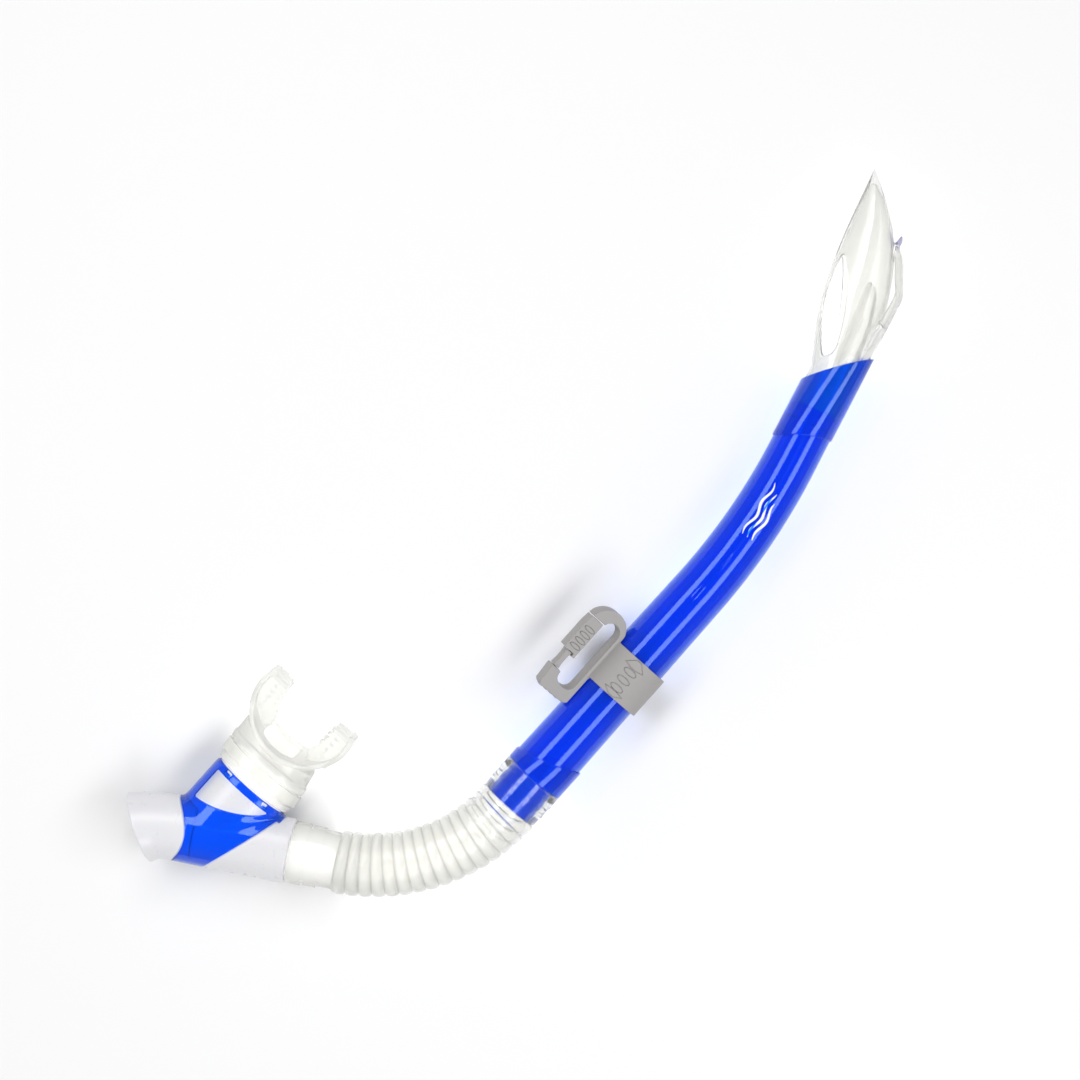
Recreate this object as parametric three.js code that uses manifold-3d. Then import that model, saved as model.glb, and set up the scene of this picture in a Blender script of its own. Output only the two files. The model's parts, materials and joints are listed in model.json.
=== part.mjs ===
// Snorkel tube with a splash guard, a corrugated hose and a purge chamber. Millimetres, +Z up.
// The snorkel lies on its side: +X runs along the straight tube towards the guard's tip.
import * as THREE from "three";
import { mergeVertices } from "three/addons/utils/BufferGeometryUtils.js";
import Module from "manifold-3d";

const wasm = await Module();
wasm.setup();

// ---- Driving dimensions -------------------------------------------------------------------
const GAP = 0.3; // clearance between pieces that touch
const REST_HEIGHT = 15; // the tube's axis above the surface that the snorkel lies on
const FRAME_CENTRE = [19.507, 55.713]; // middle of the whole part, from the tube's axis at the clip

// Breathing tube: straight, one gentle bend, straight again. Stations count from the clip.
const TUBE_RADIUS = 12.8; // outside, at the clip
const TUBE_TAPER = 0.0102; // radius lost for each millimetre towards the top
const TUBE_WALL = 1.8;
const TUBE_START = -57.2;
const REBATE_END = -54; // the tube's lower end is turned down to seat in the coupling
const REBATE_RADIUS = 12.4;
const BEND_START = 47.6;
const BEND_RADIUS = 282;
const BEND_ANGLE = 14.3;
const BEND_LENGTH = BEND_RADIUS * THREE.MathUtils.degToRad(BEND_ANGLE);
const UPPER_START = BEND_START + BEND_LENGTH;
const TUBE_TOP = 23; // past the bend's end
const STOP = { start: 44, end: 52, height: 1.0, width: 2.4 }; // wedge that stops the clip

// Top collar, measured along the upper straight.
const COLLAR_RADIUS = 12.1;
const COLLAR_BOTTOM = { middle: 10.3, slope: -0.36 };
const COLLAR_TOP = { middle: 44, slope: -0.9 };
const HOOD_RADIUS = 10.8; // the guard's round spigot
const HOOD_WALL = 1.5;
const DEFLECTOR = { start: 25, root: 9, wall: 1.2 };

// Lower coupling and hose.
const SLEEVE_RADIUS = 14.1;
const SLEEVE_TOP = { middle: -48.8, slope: -0.343 };
const SLEEVE_BOTTOM = -58.7;
const SPIGOT_END = -74.5;
const SPIGOT_RADIUS = 11.3;
const SPIGOT_BORE = 9.6;
const HOSE_BEND_RADIUS = 78;
const HOSE_BEND_ANGLE = 60;
const HOSE_RIBS = 16;
const HOSE_RIB_HEIGHT = 1.1;
const HOSE_CREST = { top: 14.5, bottom: 13.8 };
const HOSE_BORE = { top: 11.7, bottom: 11.0 };
const LOWER_CUFF = 21;

// Chamber: a round barrel in line with the hose's end, and an oval branch to the mouthpiece.
const BARREL_RADIUS = 14.1;
const BARREL_CORE = 12.7; // under the shroud
const BARREL_BORE = 11.4;
const BARREL_END = 41; // where the exhaust bell is joined on
const STUB_RADIUS = 10.7;
const STUB_BORE = 9.2;
const BRANCH_CENTRE = 88.3; // from the tube's axis
const BRANCH_MOUTH = -141.8;
const BRANCH_HALF = [17.2, 11.9]; // half width, half depth
const BRANCH_BORE = [14.6, 9.2];
const SPIGOT_OVAL = [16.4, 10.9];
const SPIGOT_REACH = 11.5;
const SHROUD_THICKNESS = 1.3;
const SHROUD_BAND = 3.7;
const BELL_NECK = 52;
const BELL_MOUTH = { middle: 65.4, half: [13.6, 15.0], shift: 3.0, slope: -0.583 };
const SEAT = { start: 42.2, thickness: 1.8, spokes: 3, spokeWidth: 2.2, hub: 3.2, hole: 1.5 };
const DIAPHRAGM = { radius: 10.2, thickness: 0.9, stem: 1.2, bulb: 2.1 };

// Mouthpiece, from the shroud's band.
const MOUTH_TILT = 14; // the lip flange leans towards the wearer's face
const MOUTH_SHIFT = 2.9; // sideways drift of the flange from the branch's middle
const FLANGE = { back: 19, front: 46, halfWidth: 24.4, halfHeight: 15, wall: 2.2 };
const BITE = { inner: 13, outer: 21.5, start: 22, end: 45.5, thickness: 4.2, ridge: 8.5 };
const CLAMP = { start: 3.9, width: 5.4, thickness: 1.7 };
const NECK_HALF = [18.5, 12.7];

// Clip: a band round the tube and a loop for the mask strap, closed by a springy gate.
const CLIP_TILT = 16;
const BAND = { start: -10.3, end: 9.4, bore: 13.3, radius: 14.6 };
const LOOP = { bottom: -26.4, halfDepth: 4.7, arcCentre: [9.6, 21.3], arcRadius: 8.7 };
const SLOT = { low: 15, high: 23.7, left: -21, right: 13.8 };
const GATE = { left: -7.3, right: 10.2, low: 23.7, high: 30.5, halfDepth: 4.2 };
const WEB = { left: -16.2, low: 25.6, high: 28.4, halfDepth: 3 };

const COLOURS = {
  blue: { color: 0x0a2fd8, roughness: 0.12, metalness: 0 },
  clear: { color: 0xe9ebe6, roughness: 0.1, metalness: 0 },
  silicone: { color: 0xe6e4da, roughness: 0.35, metalness: 0 },
  white: { color: 0xf2f2f4, roughness: 0.3, metalness: 0 },
  grey: { color: 0xa6a4a2, roughness: 0.5, metalness: 0 },
};

// ---- Helpers --------------------------------------------------------------------------------
const rad = THREE.MathUtils.degToRad;

// A flat route of straights and arcs; at(s) is the frame there, with its x axis along the route.
function route(x, y, heading, legs) {
  return {
    at(s) {
      const frame = new THREE.Matrix4().makeTranslation(x, y, 0);
      frame.multiply(new THREE.Matrix4().makeRotationZ(rad(heading)));
      let left = s;
      legs.forEach((leg, i) => {
        const last = i === legs.length - 1;
        const passed = last ? left : Math.min(left, leg.length);
        const step = i ? Math.max(passed, 0) : passed;
        const turn = leg.radius ? step / leg.radius : 0;
        const along = turn ? leg.radius * Math.sin(turn) : step;
        const across = turn ? leg.radius * (1 - Math.cos(turn)) : 0;
        frame.multiply(new THREE.Matrix4().makeTranslation(along, across, 0));
        frame.multiply(new THREE.Matrix4().makeRotationZ(turn));
        left -= step;
      });
      return frame;
    },
  };
}

// One ring of points round a route. slope and lean slide its points along the route.
function ring(path, station, sides) {
  const { s, a, b = a, shift = 0, slope = 0, lean = 0 } = station;
  const frame = path.at(s);
  return Array.from({ length: sides }, (_, i) => {
    const angle = (2 * Math.PI * i) / sides;
    const y = a * Math.cos(angle);
    const z = b * Math.sin(angle);
    return new THREE.Vector3(slope * y + lean * z, shift + y, z).applyMatrix4(frame);
  });
}

// A closed body through rings of equal count: capped at both ends, or joined end to start.
function skin(rings, endless) {
  const sides = rings[0].length;
  const points = rings.flat().flatMap((p) => p.toArray());
  const faces = [];
  const spans = endless ? rings.length : rings.length - 1;
  for (let j = 0; j < spans; j++)
    for (let i = 0; i < sides; i++) {
      const near = j * sides;
      const far = ((j + 1) % rings.length) * sides;
      const next = (i + 1) % sides;
      faces.push(near + i, far + i, far + next, near + i, far + next, near + next);
    }
  if (!endless)
    for (let i = 1; i < sides - 1; i++) {
      const end = (rings.length - 1) * sides;
      faces.push(0, i, i + 1, end, end + i + 1, end + i);
    }
  const geometry = new THREE.BufferGeometry();
  geometry.setAttribute("position", new THREE.Float32BufferAttribute(points, 3));
  geometry.setIndex(faces);
  return outward(geometry);
}

// Turns the faces round if they point inwards.
function outward(geometry) {
  const p = geometry.attributes.position;
  const index = geometry.index.array;
  const [u, v, w] = [new THREE.Vector3(), new THREE.Vector3(), new THREE.Vector3()];
  let volume = 0;
  for (let i = 0; i < index.length; i += 3) {
    u.fromBufferAttribute(p, index[i]);
    v.fromBufferAttribute(p, index[i + 1]);
    w.fromBufferAttribute(p, index[i + 2]);
    volume += u.dot(v.cross(w));
  }
  if (volume < 0)
    for (let i = 0; i < index.length; i += 3)
      [index[i + 1], index[i + 2]] = [index[i + 2], index[i + 1]];
  return geometry;
}

const loft = (path, stations, sides) =>
  skin(stations.map((station) => ring(path, station, sides)), false);

// A wall between an outer and an inner row of stations, open at both ends.
const sleeve = (path, outer, inner, sides) =>
  skin([...outer, ...inner.toReversed()].map((station) => ring(path, station, sides)), true);

// A trough open on one side: each station gives its rims' offset, its depth and half width.
function scoop(path, stations, wall, steps) {
  const rings = stations.map(({ s, rim, depth, half }) => {
    const frame = path.at(s);
    const arc = (inset) =>
      Array.from({ length: steps + 1 }, (_, i) => {
        const angle = (Math.PI * i) / steps;
        const y = rim - Math.max(depth - inset, depth * 0.2) * Math.sin(angle);
        const z = Math.max(half - inset, half * 0.3) * Math.cos(angle);
        return new THREE.Vector3(0, y, z).applyMatrix4(frame);
      });
    return [...arc(0), ...arc(wall).toReversed()];
  });
  return skin(rings, false);
}

// manifold-3d joins and cuts.
function solid(geometry) {
  const bare = geometry.clone();
  bare.deleteAttribute("normal");
  bare.deleteAttribute("uv");
  const merged = mergeVertices(bare, 1e-4);
  return new wasm.Manifold(
    new wasm.Mesh({
      numProp: 3,
      vertProperties: merged.attributes.position.array,
      triVerts: new Uint32Array(merged.index.array),
    }),
  );
}

function unsolid(shape) {
  const mesh = shape.getMesh();
  const geometry = new THREE.BufferGeometry();
  geometry.setAttribute("position", new THREE.BufferAttribute(mesh.vertProperties, 3));
  geometry.setIndex(new THREE.BufferAttribute(mesh.triVerts, 1));
  return geometry;
}

const joined = (geometries) => geometries.map(solid).reduce((sum, next) => sum.add(next));

// A flat outline in a route's plane, cut right through from -half to +half.
function slab(outline, half, place = new THREE.Matrix4()) {
  const geometry = new THREE.ExtrudeGeometry(outline, {
    depth: 2 * half,
    bevelEnabled: false,
    curveSegments: 10,
  });
  return geometry.translate(0, 0, -half).applyMatrix4(place);
}

function polygon(points) {
  return new THREE.Shape(points.map(([x, y]) => new THREE.Vector2(x, y)));
}

function box(x0, x1, y0, y1, z0, z1) {
  const geometry = new THREE.BoxGeometry(x1 - x0, y1 - y0, z1 - z0);
  return geometry.translate((x0 + x1) / 2, (y0 + y1) / 2, (z0 + z1) / 2);
}

function piece(name, geometry, colour) {
  geometry.computeVertexNormals();
  const mesh = new THREE.Mesh(geometry, new THREE.MeshStandardMaterial(COLOURS[colour]));
  mesh.name = name;
  return mesh;
}

// ---- Routes ---------------------------------------------------------------------------------
const tubeRoute = route(0, 0, 0, [
  { length: BEND_START },
  { length: BEND_LENGTH, radius: BEND_RADIUS },
  { length: 150 },
]);
const hoseRoute = route(SLEEVE_BOTTOM - GAP, 0, 180, [
  { length: SLEEVE_BOTTOM - GAP - SPIGOT_END },
  { length: HOSE_BEND_RADIUS * rad(HOSE_BEND_ANGLE), radius: -HOSE_BEND_RADIUS },
  { length: LOWER_CUFF },
]);
const RIBS_START = SLEEVE_BOTTOM - GAP - SPIGOT_END;
const RIBS_END = RIBS_START + HOSE_BEND_RADIUS * rad(HOSE_BEND_ANGLE);
const HOSE_END = RIBS_END + LOWER_CUFF;
const chamberPlace = hoseRoute.at(HOSE_END);
const chamberRoute = {
  at: (s) => chamberPlace.clone().multiply(new THREE.Matrix4().makeTranslation(s, 0, 0)),
};
const branchRoute = route(BRANCH_MOUTH, BRANCH_CENTRE, 0, [{ length: 100 }]);
const upperRoute = { at: (u) => tubeRoute.at(UPPER_START + u) };

const tubeRadius = (s) => TUBE_RADIUS - TUBE_TAPER * s;

// ---- Tube, collar, guard and coupling ---------------------------------------------------------
function mainTube() {
  const bends = Array.from({ length: 9 }, (_, i) => BEND_START + (BEND_LENGTH * i) / 8);
  const top = UPPER_START + TUBE_TOP;
  const shoulder = UPPER_START + 16;
  const full = (s) => ({ s, a: tubeRadius(s) });
  const outer = [
    { s: TUBE_START, a: REBATE_RADIUS },
    { s: REBATE_END, a: REBATE_RADIUS },
    full(REBATE_END + GAP),
    ...bends.map(full),
    full(shoulder),
    { s: shoulder + 0.3, a: 10.8 },
    { s: top, a: 10.8 },
  ];
  const inner = [TUBE_START, ...bends, top].map((s) => ({ s, a: tubeRadius(s) - TUBE_WALL }));
  const wedge = polygon([
    [STOP.start, -STOP.height],
    [STOP.end, -STOP.height],
    [STOP.end, 0],
    [STOP.start, STOP.height],
  ]);
  const upright = new THREE.Matrix4().makeRotationX(Math.PI / 2);
  upright.setPosition(0, 1, tubeRadius(STOP.start));
  return unsolid(
    joined([sleeve(tubeRoute, outer, inner, 28), slab(wedge, STOP.width / 2, upright)]),
  );
}

function topCollar() {
  const { middle: low, slope: lowSlope } = COLLAR_BOTTOM;
  const { middle: high, slope: highSlope } = COLLAR_TOP;
  const outer = [
    { s: low, a: COLLAR_RADIUS, slope: lowSlope },
    { s: high, a: COLLAR_RADIUS, slope: highSlope },
  ];
  const inner = [
    { s: low, a: COLLAR_RADIUS - 0.4, slope: lowSlope },
    { s: 16.3, a: COLLAR_RADIUS - 0.4 },
    { s: 16.6, a: HOOD_RADIUS + GAP },
    { s: high, a: HOOD_RADIUS + GAP, slope: highSlope },
  ];
  return sleeve(upperRoute, outer, inner, 28);
}

// The guard's sections: [along, front edge, back edge, half depth].
const HOOD_SECTIONS = [
  [TUBE_TOP + GAP, HOOD_RADIUS, -HOOD_RADIUS, HOOD_RADIUS],
  [39, HOOD_RADIUS, -HOOD_RADIUS, HOOD_RADIUS],
  [45, 13.2, -10.8, 10.6],
  [61, 18.8, -10.4, 11.2],
  [75, 22, -7.2, 11.2],
  [90, 24, -2.8, 10],
  [98, 24.7, 0.8, 8.8],
  [107, 25.2, 5.9, 7],
  [116, 25.5, 13.4, 4.4],
  [124.5, 25.7, 22.2, 1.7],
  [127.6, 26, 25.2, 0.6],
];

function hoodStations(inset, from, to) {
  return HOOD_SECTIONS.slice(from, to).map(([s, front, back, half]) => ({
    s,
    a: (front - back) / 2 - inset,
    b: half - inset,
    shift: (front + back) / 2,
  }));
}

function splashHood() {
  const inside = hoodStations(HOOD_WALL, 0, 9);
  inside[0].s -= 1;
  const window = new THREE.Shape();
  window.moveTo(45.5, 9);
  window.quadraticCurveTo(67, 22.5, 88.8, 21.2);
  window.quadraticCurveTo(76, 10.5, 53.5, 6.4);
  window.quadraticCurveTo(47, 5.6, 45.5, 9);
  const fin = scoop(
    upperRoute,
    [
      { s: 50, rim: -5.5, depth: 4.5, half: 8.2 },
      { s: 62, rim: -6, depth: 5.1, half: 9.1 },
      { s: 81, rim: -6.4, depth: 4.9, half: 8.2 },
      { s: 90, rim: -4.4, depth: 3.6, half: 6.6 },
      { s: 99, rim: -0.5, depth: 2.7, half: 4 },
      { s: 107, rim: 2.8, depth: 0.9, half: 0.8 },
    ],
    HOOD_WALL,
    8,
  );
  const opening = slab(window, 20, upperRoute.at(0));
  const shell = solid(loft(upperRoute, hoodStations(0, 0, 11), 24));
  const inner = solid(loft(upperRoute, inside, 24));
  return unsolid(shell.add(solid(fin)).subtract(inner).subtract(solid(opening)));
}

// A half pipe: its root is seated in the guard's foot, and its tip leans towards the windows.
function splashDeflector() {
  const { start, root, wall } = DEFLECTOR;
  return scoop(
    upperRoute,
    [
      { s: start, rim: 0, depth: root, half: root },
      { s: start + 8, rim: 0.2, depth: root, half: root },
      { s: 45, rim: 2, depth: 10, half: 8.6 },
      { s: 60, rim: 3.2, depth: 8.6, half: 8 },
      { s: 74, rim: 4.6, depth: 6.8, half: 7 },
      { s: 80, rim: 5.2, depth: 5.2, half: 5.2 },
      { s: 83, rim: 5.4, depth: 3.2, half: 2.4 },
    ],
    wall,
    10,
  );
}

function lowerCoupling() {
  const { middle, slope } = SLEEVE_TOP;
  const outer = [
    { s: SPIGOT_END, a: SPIGOT_RADIUS },
    { s: SLEEVE_BOTTOM, a: SPIGOT_RADIUS },
    { s: SLEEVE_BOTTOM, a: SLEEVE_RADIUS },
    { s: middle, a: SLEEVE_RADIUS, slope },
  ];
  const inner = [
    { s: SPIGOT_END, a: SPIGOT_BORE },
    { s: TUBE_START - GAP, a: SPIGOT_BORE },
    { s: TUBE_START - GAP, a: REBATE_RADIUS + GAP },
    { s: REBATE_END - GAP, a: REBATE_RADIUS + GAP },
    { s: REBATE_END - GAP + 0.05, a: SLEEVE_RADIUS - 0.45 },
    { s: middle, a: SLEEVE_RADIUS - 0.45, slope },
  ];
  return sleeve(tubeRoute, outer, inner, 28);
}

// ---- Hose -------------------------------------------------------------------------------------
function corrugatedHose() {
  const crest = (t) => THREE.MathUtils.lerp(HOSE_CREST.top, HOSE_CREST.bottom, t);
  const pitch = (RIBS_END - RIBS_START) / HOSE_RIBS;
  const outer = [
    { s: 0, a: 14.1 },
    { s: RIBS_START - 1, a: 14.1 },
  ];
  for (let i = 0; i < HOSE_RIBS; i++) {
    const start = RIBS_START + i * pitch;
    outer.push({ s: start, a: crest(i / HOSE_RIBS) - HOSE_RIB_HEIGHT });
    outer.push({ s: start + pitch * 0.35, a: crest(i / HOSE_RIBS) });
    outer.push({ s: start + pitch * 0.65, a: crest(i / HOSE_RIBS) });
  }
  const band = (start, end, a) => [
    { s: RIBS_END + start, a: 12.6 },
    { s: RIBS_END + start + 0.4, a },
    { s: RIBS_END + end - 0.4, a },
    { s: RIBS_END + end, a: 12.6 },
  ];
  outer.push({ s: RIBS_END, a: 12.6 }, ...band(7, 13, 13.1), ...band(14, 20.4, 13.4));
  const end = HOSE_END - GAP;
  const inner = [
    { s: 0, a: HOSE_BORE.top },
    { s: RIBS_START, a: HOSE_BORE.top },
  ];
  for (let i = 1; i < 8; i++) {
    const t = i / 8;
    const a = THREE.MathUtils.lerp(HOSE_BORE.top, HOSE_BORE.bottom, t);
    inner.push({ s: THREE.MathUtils.lerp(RIBS_START, RIBS_END, t), a });
  }
  inner.push({ s: RIBS_END, a: HOSE_BORE.bottom }, { s: end, a: HOSE_BORE.bottom });
  outer.push({ s: end, a: 12.6 });
  return sleeve(hoseRoute, outer, inner, 24);
}

// ---- Chamber ------------------------------------------------------------------------------------
// The shroud's outline over the barrel, grown by clear on every side it shares with the body.
function saddleZone(clear) {
  const shape = new THREE.Shape();
  shape.moveTo(2.6 - clear, -17);
  shape.lineTo(37.6 - clear, 16);
  shape.lineTo(51 + clear, 16);
  shape.quadraticCurveTo(37 + clear, 2.5, 51.5 + clear, -15);
  shape.lineTo(47.5, -17.5);
  shape.quadraticCurveTo(38, -13, 24.4, -12.9);
  shape.quadraticCurveTo(16, -13, 12.3, -14.8);
  shape.lineTo(8, -21);
  return slab(shape, 20, chamberPlace);
}

// The band round the branch and the strut along its far side, grown by clear.
function frameZone(clear) {
  const left = -165.8 - BRANCH_MOUTH; // stays inside the saddle's edge
  const place = branchRoute.at(0);
  const band = box(-SHROUD_BAND - clear, 0, -20, 30, -20, 20).applyMatrix4(place);
  const strut = box(left, 0, 15 - clear, 30, -20, 20).applyMatrix4(place);
  return [band, strut];
}

function ovalLength(from, to, half) {
  const [a, b] = half;
  return loft(branchRoute, [{ s: from, a, b }, { s: to, a, b }], 32);
}

function roundLength(from, to, a) {
  return loft(chamberRoute, [{ s: from, a }, { s: to, a }], 32);
}

const BRANCH_ROOT = -26;

function chamberBody() {
  const core = joined([
    roundLength(1, BARREL_END + 1, BARREL_CORE),
    ovalLength(BRANCH_ROOT, SPIGOT_REACH, SPIGOT_OVAL),
    ovalLength(BRANCH_ROOT, 0, BRANCH_HALF),
  ]);
  const recess = joined([saddleZone(GAP), ...frameZone(GAP)]).subtract(core);
  const barrel = solid(roundLength(0, BARREL_END, BARREL_RADIUS)).subtract(recess);
  const arms = joined([
    roundLength(GAP - LOWER_CUFF, 1, STUB_RADIUS),
    ovalLength(BRANCH_ROOT, 0, BRANCH_HALF),
    ovalLength(-1, SPIGOT_REACH, SPIGOT_OVAL),
  ]);
  const hollow = joined([
    roundLength(5, BARREL_END + 1, BARREL_BORE),
    roundLength(-LOWER_CUFF - 1, 6, STUB_BORE),
    ovalLength(BRANCH_ROOT + 2, SPIGOT_REACH + 1, BRANCH_BORE),
  ]);
  const bellRoom = solid(roundLength(BARREL_END, 80, BARREL_RADIUS + GAP));
  return unsolid(barrel.add(arms).subtract(hollow).subtract(bellRoom));
}

function shroudFrame() {
  const grown = (half, by) => half.map((value) => value + by);
  const outside = joined([
    roundLength(0.4, 55, BARREL_CORE + GAP + SHROUD_THICKNESS),
    ovalLength(BRANCH_ROOT, 0, grown(BRANCH_HALF, GAP + SHROUD_THICKNESS)),
  ]);
  const inside = joined([
    roundLength(-1, 56, BARREL_CORE + GAP),
    ovalLength(BRANCH_ROOT, 1, grown(BRANCH_HALF, GAP)),
  ]);
  const zone = joined([saddleZone(0), ...frameZone(0)]);
  return unsolid(outside.subtract(inside).intersect(zone));
}

function exhaustBell() {
  const { middle, half, shift, slope } = BELL_MOUTH;
  const start = BARREL_END + GAP;
  const swell = { s: 57.5, a: 14.0, b: 14.2, shift: 0.8, slope: -0.24 };
  const mouth = { s: middle, a: half[0], b: half[1], shift, slope };
  const thinned = (station, wall) => ({ ...station, a: station.a - wall, b: station.b - wall });
  const whole = loft(
    chamberRoute,
    [{ s: start, a: BARREL_RADIUS }, { s: BELL_NECK, a: BARREL_RADIUS }, swell, mouth],
    32,
  );
  const core = solid(roundLength(start - 1, BELL_NECK + 1, BARREL_CORE));
  const recess = joined([saddleZone(GAP), ...frameZone(GAP)]).subtract(core);
  const past = { ...thinned(mouth, 1.6), s: middle + 3, shift: shift + 0.6 };
  const bore = loft(
    chamberRoute,
    [
      { s: start - 1, a: BARREL_BORE },
      { s: BELL_NECK, a: BARREL_BORE },
      thinned(swell, 2),
      thinned(mouth, 1.6),
      past,
    ],
    32,
  );
  return unsolid(solid(whole).subtract(recess).subtract(solid(bore)));
}

// Lathed about the barrel's axis: profile points are [along, radius].
function turned(profile, sides) {
  const points = profile.map(([along, radius]) => new THREE.Vector2(radius, along));
  const geometry = new THREE.LatheGeometry(points, sides);
  return geometry.rotateZ(-Math.PI / 2).applyMatrix4(chamberPlace);
}

function valveSeat() {
  const { start, thickness, spokes, spokeWidth, hub, hole } = SEAT;
  const end = start + thickness;
  const rim = BARREL_BORE - GAP;
  const parts = [
    roundLength(start, end, hub),
    sleeve(
      chamberRoute,
      [{ s: start, a: rim }, { s: end, a: rim }],
      [{ s: start, a: rim - 2 }, { s: end, a: rim - 2 }],
      32,
    ),
  ];
  for (let i = 0; i < spokes; i++) {
    const bar = box(start, end, 0, rim - 1, -spokeWidth / 2, spokeWidth / 2);
    parts.push(bar.rotateX((2 * Math.PI * i) / spokes).applyMatrix4(chamberPlace));
  }
  return unsolid(joined(parts).subtract(solid(roundLength(start - 1, end + 1, hole))));
}

function purgeDiaphragm() {
  const { radius, thickness, stem, bulb } = DIAPHRAGM;
  const back = SEAT.start + SEAT.thickness + GAP;
  const nose = SEAT.start - GAP;
  const profile = [
    [nose - 3.4, 0],
    [nose - 3, bulb * 0.6],
    [nose - 2.3, bulb],
    [nose - 2, bulb],
    [nose - 2, stem],
    [back, stem],
    [back, radius],
    [back + thickness * 0.6, radius],
    [back + thickness, radius * 0.5],
    [back + thickness * 1.3, 0],
  ];
  return turned(profile, 28);
}

// ---- Mouthpiece -----------------------------------------------------------------------------------
const mouthRoute = { at: (s) => branchRoute.at(s + GAP) };

// The flange and bite tabs are built upright, then leaned and drifted as one.
function mouthPlace() {
  const place = mouthRoute.at(FLANGE.back);
  place.multiply(new THREE.Matrix4().makeTranslation(0, MOUTH_SHIFT, 0));
  place.multiply(new THREE.Matrix4().makeRotationY(-rad(MOUTH_TILT)));
  return place.multiply(new THREE.Matrix4().makeTranslation(-FLANGE.back, 0, 0));
}

// A U-shaped wall seen from above: half an ellipse round the back, with short straight sides.
function flangeOutline(inset) {
  const { back, front, halfWidth } = FLANGE;
  const centre = 38;
  const shape = new THREE.Shape();
  shape.moveTo(front, halfWidth - inset - 1.2);
  shape.lineTo(centre, halfWidth - inset);
  const reach = centre - back - inset;
  shape.absellipse(centre, 0, reach, halfWidth - inset, Math.PI / 2, 1.5 * Math.PI, false);
  shape.lineTo(front, -halfWidth + inset + 1.2);
  return shape;
}

function biteTab(side) {
  const { inner, outer, start, end, thickness, ridge } = BITE;
  const tab = new THREE.Shape();
  tab.moveTo(start, inner - 2);
  tab.lineTo(start + 8, inner);
  tab.lineTo(end, inner);
  tab.lineTo(end + 0.8, outer);
  tab.lineTo(start + 5, outer);
  tab.lineTo(start, inner + 3);
  const plate = slab(tab, thickness / 2);
  const lug = box(end - 3, end, inner, outer - 1, -ridge / 2, ridge / 2);
  return [plate, lug].map((part) => (side < 0 ? outward(mirrored(part)) : part));
}

function mirrored(geometry) {
  const bare = geometry.clone().scale(1, -1, 1);
  if (!bare.index)
    bare.setIndex(Array.from({ length: bare.attributes.position.count }, (_, i) => i));
  return bare;
}

function mouthFlange() {
  const { back, front, halfWidth, halfHeight, wall } = FLANGE;
  const middle = (front + back) / 2;
  const bar = route(back - 5, 0, 0, [{ length: 100 }]);
  const oval = loft(
    bar,
    [{ s: 0, a: halfWidth + 1, b: halfHeight }, { s: middle, a: halfWidth + 2, b: 9 }],
    32,
  );
  const bowl = solid(slab(flangeOutline(0), 20)).subtract(
    solid(slab(flangeOutline(wall), 21)),
  );
  const lip = bowl.intersect(solid(oval));
  return lip.add(joined([...biteTab(1), ...biteTab(-1)]));
}

function mouthpiece() {
  const [a, b] = NECK_HALF;
  const { start, width } = CLAMP;
  const lean = -Math.tan(rad(MOUTH_TILT));
  const neck = loft(
    mouthRoute,
    [
      { s: 0, a: a + 0.4, b: b + 0.6 },
      { s: start - 0.8, a: a + 1, b: b + 1, shift: 0.2 },
      { s: start - 0.5, a, b, shift: 0.3 },
      { s: start + width + 0.5, a, b, shift: 0.9 },
      { s: start + width + 0.8, a: a + 1.7, b: b + 1.5, shift: 1 },
      { s: 13.6, a: a + 1.7, b: b + 1.5, shift: 1.3 },
      { s: 13.9, a: a + 1.1, b: b + 0.7, shift: 1.4 },
      { s: 21, a: a + 0.6, b: b - 0.8, shift: MOUTH_SHIFT - 0.6, lean },
    ],
    32,
  );
  const bore = loft(
    mouthRoute,
    [
      { s: -1, a: SPIGOT_OVAL[0] + GAP, b: SPIGOT_OVAL[1] + GAP },
      { s: 12, a: SPIGOT_OVAL[0] + GAP, b: SPIGOT_OVAL[1] + GAP, shift: 0 },
      { s: 15, a: 15.4, b: 9.2, shift: 1.6 },
      { s: 25, a: 14.8, b: 8.4, shift: MOUTH_SHIFT, lean },
    ],
    32,
  );
  const flange = mouthFlange().transform(mouthPlace().elements);
  return unsolid(solid(neck).add(flange).subtract(solid(bore)));
}

function mouthpieceClamp() {
  const { start, width, thickness } = CLAMP;
  const [a, b] = NECK_HALF.map((value) => value + GAP);
  const rings = (by) => [
    { s: start, a: a + by, b: b + by, shift: 0.35 },
    { s: start + width, a: a + by, b: b + by, shift: 0.85 },
  ];
  return sleeve(mouthRoute, rings(thickness), rings(0), 36);
}

// ---- Clip -------------------------------------------------------------------------------------------
function loopOutline() {
  const { bottom, arcCentre, arcRadius } = LOOP;
  const [x, y] = arcCentre;
  const shape = new THREE.Shape();
  shape.moveTo(bottom, 16.5);
  shape.lineTo(bottom, 27.2);
  shape.lineTo(bottom + 1, 28.3);
  shape.lineTo(-18.5, 28.9);
  shape.lineTo(WEB.left - GAP, 28.9);
  shape.lineTo(WEB.left - GAP, 24.2);
  shape.lineTo(GATE.right + 0.4, 24.2);
  shape.absarc(x, y, arcRadius, Math.acos((GATE.right + 0.4 - x) / arcRadius), rad(-70), true);
  shape.lineTo(bottom + 4, 12.2);
  shape.quadraticCurveTo(bottom, 12.4, bottom, 16.5);
  return shape;
}

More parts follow.
